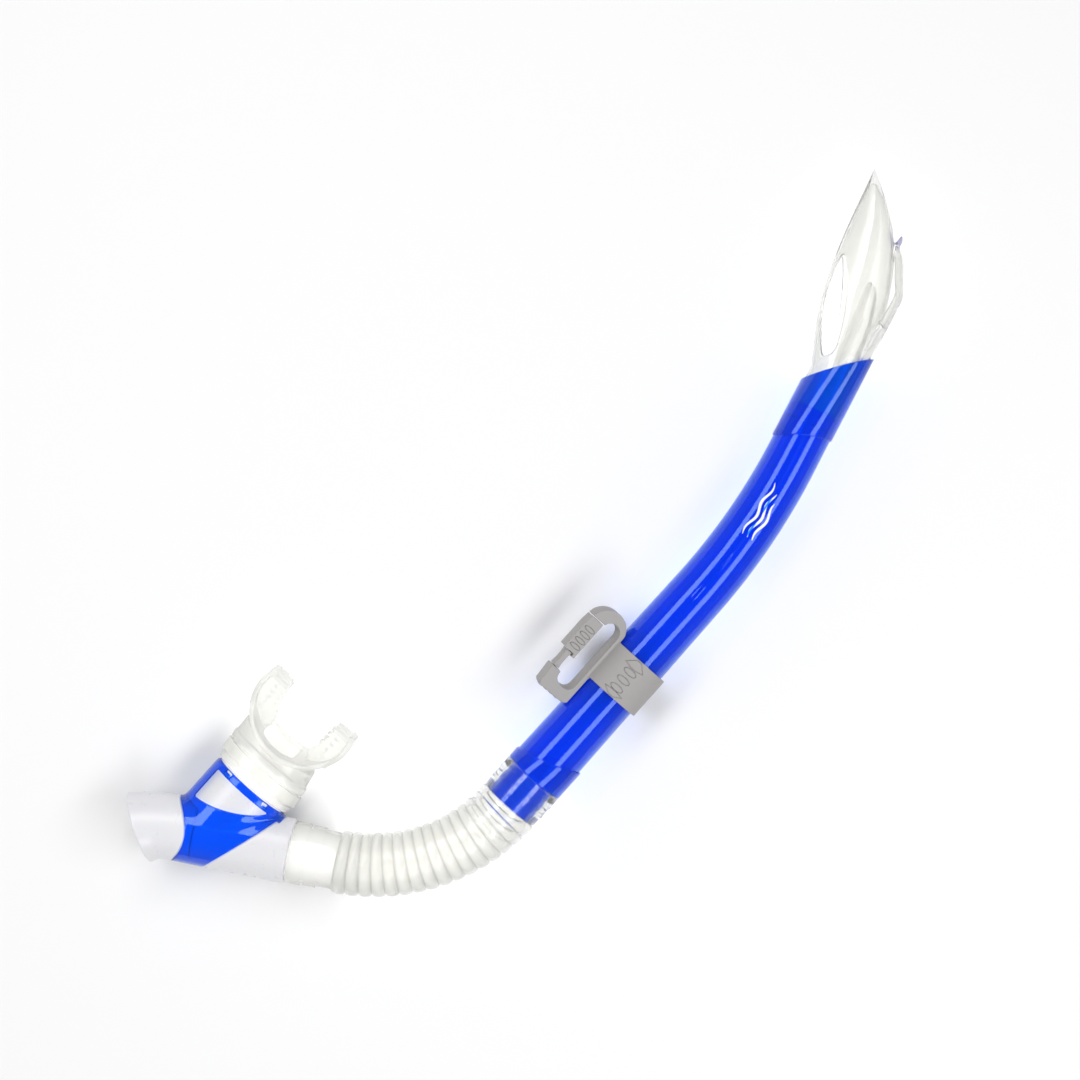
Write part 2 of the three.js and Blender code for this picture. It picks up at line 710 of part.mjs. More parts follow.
function slotOutline() {
  const { low, high, left, right } = SLOT;
  const r = 4.2;
  const cut = GATE.right + 0.4;
  const shape = new THREE.Shape();
  shape.moveTo(left + r, low);
  shape.lineTo(right - r, low);
  shape.absarc(right - r, low + r, r, -Math.PI / 2, Math.acos((cut - right + r) / r), false);
  shape.lineTo(cut, high + 1);
  shape.lineTo(WEB.left - GAP, high + 1);
  shape.lineTo(left + r, high + 0.6);
  shape.quadraticCurveTo(left, high + 0.6, left, high - r);
  shape.lineTo(left, low + r);
  shape.quadraticCurveTo(left, low, left + r, low);
  return shape;
}

function clipBody() {
  const axis = route(0, 0, 0, [{ length: 100 }]);
  const loop = solid(slab(loopOutline(), LOOP.halfDepth)).subtract(
    solid(slab(slotOutline(), LOOP.halfDepth + 1)),
  );
  const band = loft(
    axis,
    [{ s: BAND.start, a: BAND.radius }, { s: BAND.end, a: BAND.radius }],
    36,
  );
  const loose = BAND.bore + 0.3; // the loop reaches over the tube's wider end
  const bore = loft(
    axis,
    [
      { s: -40, a: loose },
      { s: -12, a: loose },
      { s: BAND.start, a: BAND.bore },
      { s: 40, a: BAND.bore },
    ],
    36,
  );
  return unsolid(loop.add(solid(band)).subtract(solid(bore)));
}

function clipGate() {
  const { left, right, low, high, halfDepth } = GATE;
  const shape = polygon([
    [left, low + 1.4],
    [left - 1.6, low + 1.2],
    [left - 1.6, low],
    [right, low],
    [right, high - 0.4],
    [right - 4, high],
    [left, high],
  ]);
  return slab(shape, halfDepth);
}

function gateWeb() {
  const { left, low, high, halfDepth } = WEB;
  return box(left, GATE.left - GAP, low, high, -halfDepth, halfDepth);
}

// ---- Assembly -----------------------------------------------------------------------------------------
const clip = new THREE.Group();
clip.rotation.x = rad(CLIP_TILT);
clip.add(
  piece("clip_body", clipBody(), "grey"),
  piece("clip_gate", clipGate(), "grey"),
  piece("gate_web", gateWeb(), "grey"),
);

const snorkel = new THREE.Group();
snorkel.add(
  piece("main_tube", mainTube(), "blue"),
  piece("top_collar", topCollar(), "blue"),
  piece("splash_hood", splashHood(), "clear"),
  piece("splash_deflector", splashDeflector(), "clear"),
  piece("lower_coupling", lowerCoupling(), "blue"),
  piece("corrugated_hose", corrugatedHose(), "silicone"),
  piece("chamber_body", chamberBody(), "white"),
  piece("shroud_frame", shroudFrame(), "blue"),
  piece("exhaust_bell", exhaustBell(), "white"),
  piece("valve_seat", valveSeat(), "white"),
  piece("purge_diaphragm", purgeDiaphragm(), "silicone"),
  piece("mouthpiece", mouthpiece(), "silicone"),
  piece("mouthpiece_clamp", mouthpieceClamp(), "silicone"),
  clip,
);
snorkel.position.set(-FRAME_CENTRE[0], -FRAME_CENTRE[1], REST_HEIGHT);

export default snorkel;
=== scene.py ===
import json
import math

import bpy
import numpy as np
from mathutils import Matrix, Vector


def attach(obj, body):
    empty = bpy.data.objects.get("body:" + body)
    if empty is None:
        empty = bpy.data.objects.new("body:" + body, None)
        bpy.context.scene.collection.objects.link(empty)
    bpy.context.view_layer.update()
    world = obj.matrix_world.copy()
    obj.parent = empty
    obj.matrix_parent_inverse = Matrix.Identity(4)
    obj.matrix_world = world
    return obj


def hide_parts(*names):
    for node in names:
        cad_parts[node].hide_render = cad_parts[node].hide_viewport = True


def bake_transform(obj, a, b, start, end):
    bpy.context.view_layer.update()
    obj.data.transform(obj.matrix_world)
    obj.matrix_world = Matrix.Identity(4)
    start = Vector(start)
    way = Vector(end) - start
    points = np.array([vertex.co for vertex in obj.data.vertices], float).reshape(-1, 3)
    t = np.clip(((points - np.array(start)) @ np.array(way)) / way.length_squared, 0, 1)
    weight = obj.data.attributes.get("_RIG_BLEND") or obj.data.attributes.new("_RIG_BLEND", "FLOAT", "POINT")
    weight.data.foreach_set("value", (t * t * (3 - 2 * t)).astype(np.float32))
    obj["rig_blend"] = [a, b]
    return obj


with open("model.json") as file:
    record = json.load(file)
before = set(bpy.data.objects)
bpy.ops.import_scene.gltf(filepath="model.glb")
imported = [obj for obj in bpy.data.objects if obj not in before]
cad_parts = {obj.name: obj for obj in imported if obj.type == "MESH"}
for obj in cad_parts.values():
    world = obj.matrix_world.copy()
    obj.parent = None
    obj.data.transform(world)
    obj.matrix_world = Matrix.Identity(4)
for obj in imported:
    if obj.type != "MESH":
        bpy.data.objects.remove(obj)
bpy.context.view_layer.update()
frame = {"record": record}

bl_info = {
    "name": "Snorkel Maker",
    "version": (1, 0, 0),
    "blender": (4, 5, 0),
    "location": "View3D > Sidebar > Snorkel",
    "description": "Builds a snorkel with a splash guard, a corrugated hose and a purge chamber",
    "category": "Add Mesh",
}

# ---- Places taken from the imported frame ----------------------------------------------
# Lengths below are millimetres from the tube's axis at the clip, +X along the straight tube.
MM = 0.001
STRAP_SEAT = next(m for m in frame["record"]["mounts"] if m["name"] == "strap_seat")
CLIP_TILT = math.atan2(STRAP_SEAT["axis"][2], STRAP_SEAT["axis"][1])
SEAT_PLACE = Vector((-4, 15 * math.cos(CLIP_TILT), 15 * math.sin(CLIP_TILT)))
TO_SCENE = Matrix.Translation(Vector(STRAP_SEAT["pos_m"]) - SEAT_PLACE * MM) @ Matrix.Scale(MM, 4)
TO_MM = TO_SCENE.inverted()

# Clearance between parts that move or push together, and points round each ring.
GAP = 0.3
SIDES = 96

# Tube, collar and coupling, by distance along the tube from the clip or from the bend's end.
TUBE = {"start": -57.2, "rebate": -54, "rebate_radius": 12.4, "bend_start": 47.6, "top": 23}
TUBE_NECK = {"start": 16, "radius": 10.8, "sleeve": 11.1}
STOP = {"start": 44, "end": 52, "height": 1.0, "side": 1.0}
COLLAR = {"low": 10.3, "low_slope": -0.36, "high": 44, "high_slope": -0.9, "bulge": 0.9}
COUPLING = {"radius": 14.1, "wall": 0.45, "barbs": (-71.5, -67, -62.5), "barb_radius": 11.55}
SPIGOT = {"end": -74.5, "radius": 11.3, "bore": 9.6, "shoulder": -58.7}
SLEEVE_TOP = {"middle": -48.8, "slope": -0.343}

# Hose and chamber. The barrel, bell and seat are measured from the hose's end.
HOSE_BEND = {"radius": 78, "angle": 60}
HOSE_CUFF = 21
BARREL = {"radius": 14.1, "core": 12.7, "bore": 11.4, "end": 41, "stub": 10.7, "stub_bore": 9.2}
BRANCH = {"centre": 88.3, "mouth": -141.8, "root": -26, "half": (17.2, 11.9), "bore": (14.6, 9.2)}
BRANCH_SPIGOT = {"half": (16.4, 10.9), "reach": 11.5}
LUG_SIDES = (10.2, -9.6)
BELL = {"mouth": 65.4, "half": (13.6, 15.0), "shift": 3.0, "slope": -0.583}
SEAT = {"start": 42.2, "thickness": 1.8}

# Mouthpiece, measured from the branch's mouth.
FLANGE = {"back": 19, "front": 46, "half_width": 24.4, "half_height": 15, "wall": 2.2}
MOUTH = {"tilt": math.radians(14), "shift": 2.9, "neck": (18.5, 12.7)}
CLAMP = {"start": 3.9, "width": 5.4}

# Clip, with its loop in its own tilted plane.
BAND = {"start": -10.3, "end": 9.4, "bore": 13.3, "radius": 14.56}
SLOT = {"low": 15, "high": 23.7, "left": -21, "right": 13.8}
GATE = {"left": -7.3, "right": 10.2, "low": 23.7, "high": 30.5, "half_depth": 4.2}
WEB = {"left": -16.2, "low": 25.6, "high": 28.4, "half_depth": 3}

# Materials that let the light through to the floor, and the stage (the light's in metres).
SEE_THROUGH = ("blue_plastic", "clear_plastic", "silicone", "hose_silicone")
CAMERA = {"aim": (19.3, 66.1, 0), "height": 1000, "width": 465.5, "right": (0.6665, -0.7455)}
LIGHT = {"power": 8.6, "length": 1.8, "width": 0.34, "distance": 1.1}


# ---- Sizes and colours that a user would change --------------------------------------
def distance(name, description, default, low, high):
    """A length for the sidebar, given here in millimetres."""
    return bpy.props.FloatProperty(
        name=name,
        description=description,
        default=default * MM,
        min=low * MM,
        max=high * MM,
        precision=5,
        subtype="DISTANCE",
        unit="LENGTH",
    )


def tint(name, description, default):
    """A colour for the sidebar."""
    return bpy.props.FloatVectorProperty(
        name=name, description=description, default=default, size=3, min=0, max=1, subtype="COLOR"
    )


class SnorkelSizes(bpy.types.PropertyGroup):
    """Lengths, one angle, one taper and one count."""

    tube_radius: distance("Tube Radius", "Outside radius of the tube at the clip", 12.8, 12, 13)
    tube_taper: bpy.props.FloatProperty(
        name="Tube Taper",
        description="Radius lost for each length of tube",
        default=0.0102,
        min=0,
        max=0.02,
        precision=4,
        subtype="FACTOR",
    )
    tube_wall: distance("Tube Wall", "Thickness of the tube's wall", 1.8, 1, 3)
    bend_radius: distance("Bend Radius", "Radius of the tube's gentle bend", 282, 200, 400)
    bend_angle: bpy.props.FloatProperty(
        name="Bend Angle",
        description="Turn of the tube's bend",
        default=math.radians(14.3),
        subtype="ANGLE",
    )
    collar_radius: distance("Collar Radius", "Outside radius of the top collar", 12.1, 12, 12.6)
    guard_wall: distance("Guard Wall", "Thickness of the splash guard's shell", 1.5, 1, 2)
    hose_ribs: bpy.props.IntProperty(
        name="Hose Ribs", description="Number of ribs on the hose", default=16, min=8, max=30
    )
    rib_height: distance("Rib Height", "How far the hose's ribs stand up", 1.15, 0.4, 2)
    frame_thickness: distance("Frame Thickness", "Thickness of the blue frame", 1.3, 1, 1.3)
    nub_radius: distance("Nub Radius", "Radius of the nubs on the bite tabs", 0.9, 0.5, 1.2)
    print_thickness: distance("Print Thickness", "Thickness of the printed waves", 0.08, 0.02, 0.2)


class Measures:
    """The sidebar's sizes as the makers use them, with lengths in millimetres."""

    def __init__(self, kept):
        for name in kept.__annotations__:
            value = getattr(kept, name)
            in_metres = kept.bl_rna.properties[name].unit == "LENGTH"
            setattr(self, name, round(value / MM, 5) if in_metres else value)


class SnorkelColours(bpy.types.PropertyGroup):
    """Colours of the moulded materials."""

    blue: tint("Blue", "See-through blue of the tube, collar and frame", (0.0005, 0.11, 0.8))
    clear: tint("Clear", "See-through plastic of the splash guard", (0.82, 0.82, 0.8))
    fin_tip: tint("Fin Tip", "Smoky end of the guard's rear vane", (0.36, 0.36, 0.5))
    silicone: tint("Silicone", "Milky silicone of the hose and mouthpiece", (0.85, 0.85, 0.82))
    white: tint("White", "White of the chamber and bell", (0.8, 0.8, 0.825))
    clip: tint("Clip", "Warm grey of the clip", (0.29, 0.285, 0.265))
    floor: tint("Floor", "Pale floor", (0.93, 0.93, 0.93))


# ---- Routes and rings ----------------------------------------------------------------
class Route:
    """A flat path of straights and arcs. at(s) gives its point and heading there."""

    def __init__(self, x, y, heading, legs):
        self.start = (x, y, heading)
        self.legs = legs

    def at(self, s):
        x, y, heading = self.start
        left = s
        for i, (length, radius) in enumerate(self.legs):
            last = i == len(self.legs) - 1
            step = left if last else min(left, length)
            step = max(step, 0) if i else step
            turn = step / radius if radius else 0
            along = radius * math.sin(turn) if radius else step
            across = radius * (1 - math.cos(turn)) if radius else 0
            x += along * math.cos(heading) - across * math.sin(heading)
            y += along * math.sin(heading) + across * math.cos(heading)
            heading += turn
            left -= step
        return x, y, heading

    def beside(self, s, side, z=0):
        """The point at a distance to the route's left, and z above it."""
        x, y, heading = self.at(s)
        return (x - side * math.sin(heading), y + side * math.cos(heading), z)

    def place(self, s):
        x, y, heading = self.at(s)
        return Matrix.Translation((x, y, 0)) @ Matrix.Rotation(heading, 4, "Z")


def ring(route, s, a, b=None, shift=0, slope=0, bulge=0, lean=0, pinch=0, sides=SIDES):
    """Points of an oval round the route at s. slope, bulge and lean slide them along the route."""
    b = a if b is None else b
    angle = 2 * np.pi * np.arange(sides) / sides
    y = a * np.cos(angle)
    z = b * np.sin(angle) * (1 - pinch * np.clip(np.cos(angle), 0, 1) ** 1.5)
    along = slope * y + bulge * (1 - (y / a) ** 2) + lean * z
    px, py, heading = route.at(s)
    across = shift + y
    x = px + along * math.cos(heading) - across * math.sin(heading)
    y = py + along * math.sin(heading) + across * math.cos(heading)
    return np.column_stack([x, y, z])


def blended(stations, step):
    """Rows of numbers, made finer by a monotone cubic through them. The first column leads."""
    rows = np.array(stations, float)
    s = rows[:, 0]
    fine = np.unique(np.concatenate([np.arange(s[0], s[-1], step), s]))
    slopes = np.diff(rows, axis=0) / np.diff(s)[:, None]
    tangents = np.zeros_like(rows)
    product = slopes[:-1] * slopes[1:]
    total = slopes[:-1] + slopes[1:]
    tangents[1:-1] = np.where(product > 0, 2 * product / np.where(product > 0, total, 1), 0)
    tangents[0], tangents[-1] = slopes[0], slopes[-1]
    out = []
    for value in fine:
        i = min(np.searchsorted(s, value, side="right") - 1, len(s) - 2)
        h = s[i + 1] - s[i]
        t = (value - s[i]) / h
        out.append(
            (2 * t**3 - 3 * t**2 + 1) * rows[i]
            + (t**3 - 2 * t**2 + t) * h * tangents[i]
            + (3 * t**2 - 2 * t**3) * rows[i + 1]
            + (t**3 - t**2) * h * tangents[i + 1]
        )
    return np.array(out)


# ---- Meshes --------------------------------------------------------------------------
def new_object(name, mesh):
    obj = bpy.data.objects.new(name, mesh)
    bpy.context.scene.collection.objects.link(obj)
    return obj


def from_points(name, points, faces, place=None):
    """A mesh object in the scene from millimetre points."""
    mesh = bpy.data.meshes.new(name)
    mesh.from_pydata([tuple(p) for p in points], [], faces)
    mesh.transform(TO_SCENE @ place if place else TO_SCENE)
    mesh.update()
    outward(mesh)
    return new_object(name, mesh)


def outward(mesh):
    """Turns the faces of a closed mesh to point outwards."""
    co = np.zeros(len(mesh.vertices) * 3)
    mesh.vertices.foreach_get("co", co)
    co = co.reshape(-1, 3) - co.reshape(-1, 3).mean(axis=0)
    mesh.calc_loop_triangles()
    tris = np.zeros(len(mesh.loop_triangles) * 3, int)
    mesh.loop_triangles.foreach_get("vertices", tris)
    a, b, c = (co[tris.reshape(-1, 3)[:, i]] for i in range(3))
    volume = np.einsum("ij,ij->i", a, np.cross(b, c)).sum()
    if volume < 0:
        mesh.flip_normals()


def skin(name, rings, endless=False, place=None):
    """A closed body through rings of equal count: capped at both ends, or joined end to start."""
    sides = len(rings[0])
    faces = []
    for j in range(len(rings) if endless else len(rings) - 1):
        near, far = j * sides, (j + 1) % len(rings) * sides
        faces += [
            (near + i, near + (i + 1) % sides, far + (i + 1) % sides, far + i) for i in range(sides)
        ]
    if not endless:
        faces.append(tuple(range(sides))[::-1])
        faces.append(tuple(range((len(rings) - 1) * sides, len(rings) * sides)))
    return from_points(name, np.concatenate(rings), faces, place)


def loft(name, route, stations, place=None, **extra):
    """A solid through stations given as dictionaries for ring()."""
    return skin(name, [ring(route, **{**extra, **st}) for st in stations], place=place)


def wall(name, route, outer, inner):
    """A wall between two rows of stations, open at both ends."""
    return skin(name, [ring(route, **st) for st in outer + inner[::-1]], endless=True)


def slab(name, outline, half, place=None):
    """A flat outline in X and Y, made solid from -half to +half."""
    n = len(outline)
    points = [(x, y, -half) for x, y in outline] + [(x, y, half) for x, y in outline]
    faces = [tuple(range(n))[::-1], tuple(range(n, 2 * n))]
    faces += [(i, (i + 1) % n, n + (i + 1) % n, n + i) for i in range(n)]
    return from_points(name, points, faces, place)


def block(name, low, high, place=None):
    """A box between two corners."""
    (x0, y0, z0), (x1, y1, z1) = low, high
    outline = [(x0, y0), (x1, y0), (x1, y1), (x0, y1)]
    lift = Matrix.Translation((0, 0, (z0 + z1) / 2))
    return slab(name, outline, (z1 - z0) / 2, (place or Matrix()) @ lift)


def curve_to(start, control, end, steps=14):
    """Points along a quadratic curve, without its start."""
    t = np.linspace(0, 1, steps + 1)[1:, None]
    p0, p1, p2 = (np.array(p, float) for p in (start, control, end))
    return [tuple(p) for p in (1 - t) ** 2 * p0 + 2 * t * (1 - t) * p1 + t**2 * p2]


def arc(cx, cy, rx, ry, start, end, steps=24):
    """Points along an arc given in degrees."""
    angles = np.radians(np.linspace(start, end, steps + 1))
    return [(cx + rx * math.cos(t), cy + ry * math.sin(t)) for t in angles]


def baked(obj):
    """Turns an object's modifiers into its plain mesh."""
    graph = bpy.context.evaluated_depsgraph_get()
    mesh = bpy.data.meshes.new_from_object(obj.evaluated_get(graph))
    obj.modifiers.clear()
    obj.data = mesh
    return obj


def combined(target, other, operation):
    """Joins or cuts two solids, and removes the second one."""
    modifier = target.modifiers.new("cut", "BOOLEAN")
    modifier.operation = operation
    modifier.solver = "MANIFOLD"
    modifier.object = other
    baked(target)
    bpy.data.objects.remove(other)
    return target


def union(first, *others):
    for other in others:
        combined(first, other, "UNION")
    return first


def minus(first, *others):
    for other in others:
        combined(first, other, "DIFFERENCE")
    return first


def softened(obj, voxel, rounds):
    """Remeshes a solid finely and smooths it, so that its edges are rounded as moulded ones are."""
    remesh = obj.modifiers.new("remesh", "REMESH")
    remesh.mode = "VOXEL"
    remesh.voxel_size = voxel * MM
    smooth = obj.modifiers.new("smooth", "SMOOTH")
    smooth.factor = 0.5
    smooth.iterations = rounds
    return baked(obj)


def joined(name, objects):
    """Puts several meshes into one object."""
    points, faces = [], []
    for obj in objects:
        base = len(points)
        points += [TO_MM @ v.co for v in obj.data.vertices]
        faces += [tuple(base + v for v in p.vertices) for p in obj.data.polygons]
        bpy.data.objects.remove(obj)
    mesh = bpy.data.meshes.new(name)
    mesh.from_pydata(points, [], faces)
    mesh.transform(TO_SCENE)
    return new_object(name, mesh)


def finished(obj, name, material, body, nodes, sharp=40):
    """Names a piece, shades it, gives it its material and puts it on its body."""
    obj.name = name
    obj.data.name = name
    obj.data.materials.clear()
    obj.data.materials.append(material)
    obj.data.polygons.foreach_set("material_index", [0] * len(obj.data.polygons))
    obj.data.polygons.foreach_set("use_smooth", [True] * len(obj.data.polygons))
    obj.data.set_sharp_from_angle(angle=math.radians(sharp))
    obj.data.update()
    obj.visible_shadow = material.name not in SEE_THROUGH
    if body:
        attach(obj, body)
    if nodes:
        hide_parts(*nodes)
    return obj


# ---- Geometry Nodes ------------------------------------------------------------------
def new_tree(name, inputs):
    """An empty geometry tree with named inputs. Returns the tree, its input node and its links."""
    tree = bpy.data.node_groups.new(name, "GeometryNodeTree")
    tree.interface.new_socket("Geometry", in_out="INPUT", socket_type="NodeSocketGeometry")
    for label, kind, value in inputs:
        socket = tree.interface.new_socket(label, in_out="INPUT", socket_type=kind)
        if value is not None:
            socket.default_value = value
    tree.interface.new_socket("Geometry", in_out="OUTPUT", socket_type="NodeSocketGeometry")
    return tree, tree.nodes.new("NodeGroupInput"), tree.links.new


def tree_end(tree, source, material):
    """Closes a tree with Realize Instances and Set Material."""
    real = tree.nodes.new("GeometryNodeRealizeInstances")
    paint = tree.nodes.new("GeometryNodeSetMaterial")
    out = tree.nodes.new("NodeGroupOutput")
    tree.links.new(source, real.inputs["Geometry"])
    tree.links.new(real.outputs["Geometry"], paint.inputs["Geometry"])
    tree.links.new(material, paint.inputs["Material"])
    tree.links.new(paint.outputs["Geometry"], out.inputs["Geometry"])


def math_node(tree, operation, *values):
    """A Math node fed by sockets or numbers."""
    node = tree.nodes.new("ShaderNodeMath")
    node.operation = operation
    for socket, value in zip(node.inputs, values):
        if isinstance(value, (int, float)):
            socket.default_value = value
        else:
            tree.links.new(value, socket)
    return node.outputs[0]


def named(tree, kind, name):
    node = tree.nodes.new("GeometryNodeInputNamedAttribute")
    node.data_type = kind
    node.inputs["Name"].default_value = name
    return node.outputs["Attribute"]


def ribs_tree():
    """Lifts the points of a smooth hose into rounded ribs with narrow grooves between them, and stores where
    the grooves lie as a mask for painted shade.
    """
    tree, given, link = new_tree(
        "hose_ribs",
        [
            ("Rib Count", "NodeSocketInt", 16),
            ("Rib Height", "NodeSocketFloat", 0.001),
            ("Crest Roundness", "NodeSocketFloat", 0.5),
            ("Material", "NodeSocketMaterial", None),
        ],
    )
    phase = math_node(tree, "MULTIPLY", named(tree, "FLOAT", "along"), given.outputs["Rib Count"])
    wave = math_node(tree, "SINE", math_node(tree, "MULTIPLY", phase, math.pi))
    height = math_node(tree, "ABSOLUTE", wave)
    crest = math_node(tree, "POWER", height, given.outputs["Crest Roundness"])
    lift = tree.nodes.new("ShaderNodeVectorMath")
    lift.operation = "SCALE"
    link(named(tree, "FLOAT_VECTOR", "outward"), lift.inputs[0])
    link(math_node(tree, "MULTIPLY", crest, given.outputs["Rib Height"]), lift.inputs["Scale"])
    move = tree.nodes.new("GeometryNodeSetPosition")
    link(given.outputs["Geometry"], move.inputs["Geometry"])
    link(lift.outputs["Vector"], move.inputs["Offset"])
    ribbed = tree.nodes.new("ShaderNodeVectorMath")
    ribbed.operation = "LENGTH"
    link(named(tree, "FLOAT_VECTOR", "outward"), ribbed.inputs[0])
    hollow = math_node(tree, "SUBTRACT", 1.0, crest)
    groove = math_node(tree, "MULTIPLY", hollow, ribbed.outputs["Value"])
    # The stored groove mask darkens the hose's colour: painted shade in the hollows between the ribs.
    keep = tree.nodes.new("GeometryNodeStoreNamedAttribute")
    keep.data_type = "FLOAT"
    keep.domain = "POINT"
    keep.inputs["Name"].default_value = "groove"
    link(move.outputs["Geometry"], keep.inputs["Geometry"])
    link(groove, keep.inputs["Value"])
    tree_end(tree, keep.outputs["Geometry"], given.outputs["Material"])
    return tree


def bumps_tree():
    """Sets equal rounded bumps in a row."""
    tree, given, link = new_tree(
        "row_of_bumps",
        [
            ("Count", "NodeSocketInt", 4),
            ("Start", "NodeSocketVector", (0, 0, 0)),
            ("Step", "NodeSocketVector", (0.001, 0, 0)),
            ("Half Size", "NodeSocketVector", (0.001, 0.001, 0.001)),
            ("Material", "NodeSocketMaterial", None),
        ],
    )
    line = tree.nodes.new("GeometryNodeMeshLine")
    link(given.outputs["Count"], line.inputs["Count"])
    link(given.outputs["Start"], line.inputs["Start Location"])
    link(given.outputs["Step"], line.inputs["Offset"])
    bump = tree.nodes.new("GeometryNodeMeshUVSphere")
    bump.inputs["Segments"].default_value = 20
    bump.inputs["Rings"].default_value = 12
    bump.inputs["Radius"].default_value = 1
    place = tree.nodes.new("GeometryNodeInstanceOnPoints")
    link(line.outputs["Mesh"], place.inputs["Points"])
    link(bump.outputs["Mesh"], place.inputs["Instance"])
    link(given.outputs["Half Size"], place.inputs["Scale"])
    tree_end(tree, place.outputs["Instances"], given.outputs["Material"])
    return tree


def grown(obj, tree, values):
    """Runs a geometry tree on an object and keeps the result as its plain mesh."""
    modifier = obj.modifiers.new(tree.name, "NODES")
    modifier.node_group = tree
    for item in tree.interface.items_tree:
        if item.in_out == "INPUT" and item.name in values:
            modifier[item.identifier] = values[item.name]
    return baked(obj)


def bump_row(name, count, start, step, half_size, material, place=None):
    """A row of rounded bumps, given in millimetres."""
    obj = new_object(name, bpy.data.meshes.new(name))
    tree = bpy.data.node_groups.get("row_of_bumps") or bumps_tree()
    values = {
        "Count": count,
        "Start": Vector(start),
        "Step": Vector(step),
        "Half Size": Vector(half_size),
        "Material": material,
    }
    grown(obj, tree, values)
    obj.data.transform(TO_SCENE @ place if place else TO_SCENE)
    outward(obj.data)
    return obj


# ---- Materials -----------------------------------------------------------------------
def new_material(name):
    """A material with its Principled node and Object coordinates."""
    material = bpy.data.materials.new(name)
    material.use_nodes = True
    tree = material.node_tree
    shader = tree.nodes["Principled BSDF"]
    places = tree.nodes.new("ShaderNodeTexCoord").outputs["Object"]
    return material, tree, shader, places


def noise(tree, places, scale, detail=3.0):
    node = tree.nodes.new("ShaderNodeTexNoise")
    node.inputs["Scale"].default_value = scale
    node.inputs["Detail"].default_value = detail
    tree.links.new(places, node.inputs["Vector"])
    return node.outputs["Fac"]


def spread(tree, value, low, high):
    """Maps a 0 to 1 pattern onto a range."""
    node = tree.nodes.new("ShaderNodeMapRange")
    node.inputs["To Min"].default_value = low
    node.inputs["To Max"].default_value = high
    tree.links.new(value, node.inputs["Value"])
    return node.outputs["Result"]


def bump(tree, shader, height, strength, distance):
    node = tree.nodes.new("ShaderNodeBump")
    node.inputs["Strength"].default_value = strength
    node.inputs["Distance"].default_value = distance
    tree.links.new(height, node.inputs["Height"])
    tree.links.new(node.outputs["Normal"], shader.inputs["Normal"])


def two_tone(tree, value, first, second):
    """Mixes two colours by a pattern."""
    node = tree.nodes.new("ShaderNodeMix")
    node.data_type = "RGBA"
    node.inputs["A"].default_value = (*first, 1)
    node.inputs["B"].default_value = (*second, 1)
    tree.links.new(value, node.inputs["Factor"])
    return node.outputs["Result"]


def shade(colour, factor):
    return tuple(min(channel * factor, 1) for channel in colour)


def set_sockets(shader, values):
    for name, value in values.items():
        shader.inputs[name].default_value = value


def fade_from(tree, places, centre, near, far, low=0, high=1):
    """Runs from low to high between two distances, in metres, from a centre in millimetres."""
    apart = tree.nodes.new("ShaderNodeVectorMath")
    apart.operation = "DISTANCE"
    apart.inputs[1].default_value = TO_SCENE @ Vector(centre)
    tree.links.new(places, apart.inputs[0])
    fade = tree.nodes.new("ShaderNodeMapRange")
    for name, value in zip(("From Min", "From Max", "To Min", "To Max"), (near, far, low, high)):
        fade.inputs[name].default_value = value
    tree.links.new(apart.outputs["Value"], fade.inputs["Value"])
    return fade.outputs["Result"]


def blue_plastic(colours):
    """See-through blue: glossy, with faint flow marks from the mould."""
    material, tree, shader, places = new_material("blue_plastic")
    flow = noise(tree, places, 60, 2)
    base = two_tone(tree, flow, shade(colours.blue, 0.94), shade(colours.blue, 1.05))
    tree.links.new(base, shader.inputs["Base Color"])
    tree.links.new(spread(tree, noise(tree, places, 220), 0.05, 0.1), shader.inputs["Roughness"])
    set_sockets(shader, {"Transmission Weight": 0.8, "IOR": 1.5, "Coat Weight": 0.3})
    set_sockets(shader, {"Specular Tint": (0.5, 0.78, 1, 1), "Coat Roughness": 0.04})
    bump(tree, shader, noise(tree, places, 25, 0), 0.02, 0.0002)
    return material


def clear_plastic(colours):
    """Clear plastic of the guard, smoky at the end of its rear vane."""
    material, tree, shader, places = new_material("clear_plastic")
    fade = fade_from(tree, places, guard_point(106.8, 1.4), 0.0036, 0.0066)
    base = two_tone(tree, fade, colours.fin_tip, colours.clear)
    tree.links.new(base, shader.inputs["Base Color"])
    tree.links.new(spread(tree, noise(tree, places, 160), 0.08, 0.16), shader.inputs["Roughness"])
    set_sockets(shader, {"Transmission Weight": 0.9, "IOR": 1.45})
    bump(tree, shader, noise(tree, places, 90, 1), 0.06, 0.0003)
    return material


def milky_silicone(colours):
    """Silicone: milky, soft to light, with a faint dusting on its skin."""
    material, tree, shader, places = new_material("silicone")
    cloud = noise(tree, places, 45, 2)
    base = two_tone(tree, cloud, shade(colours.silicone, 0.97), shade(colours.silicone, 1.02))
    tree.links.new(base, shader.inputs["Base Color"])
    tree.links.new(spread(tree, noise(tree, places, 300), 0.1, 0.18), shader.inputs["Roughness"])
    set_sockets(shader, {"Transmission Weight": 0.6, "IOR": 1.38})
    bump(tree, shader, noise(tree, places, 250, 1), 0.03, 0.0001)
    return material


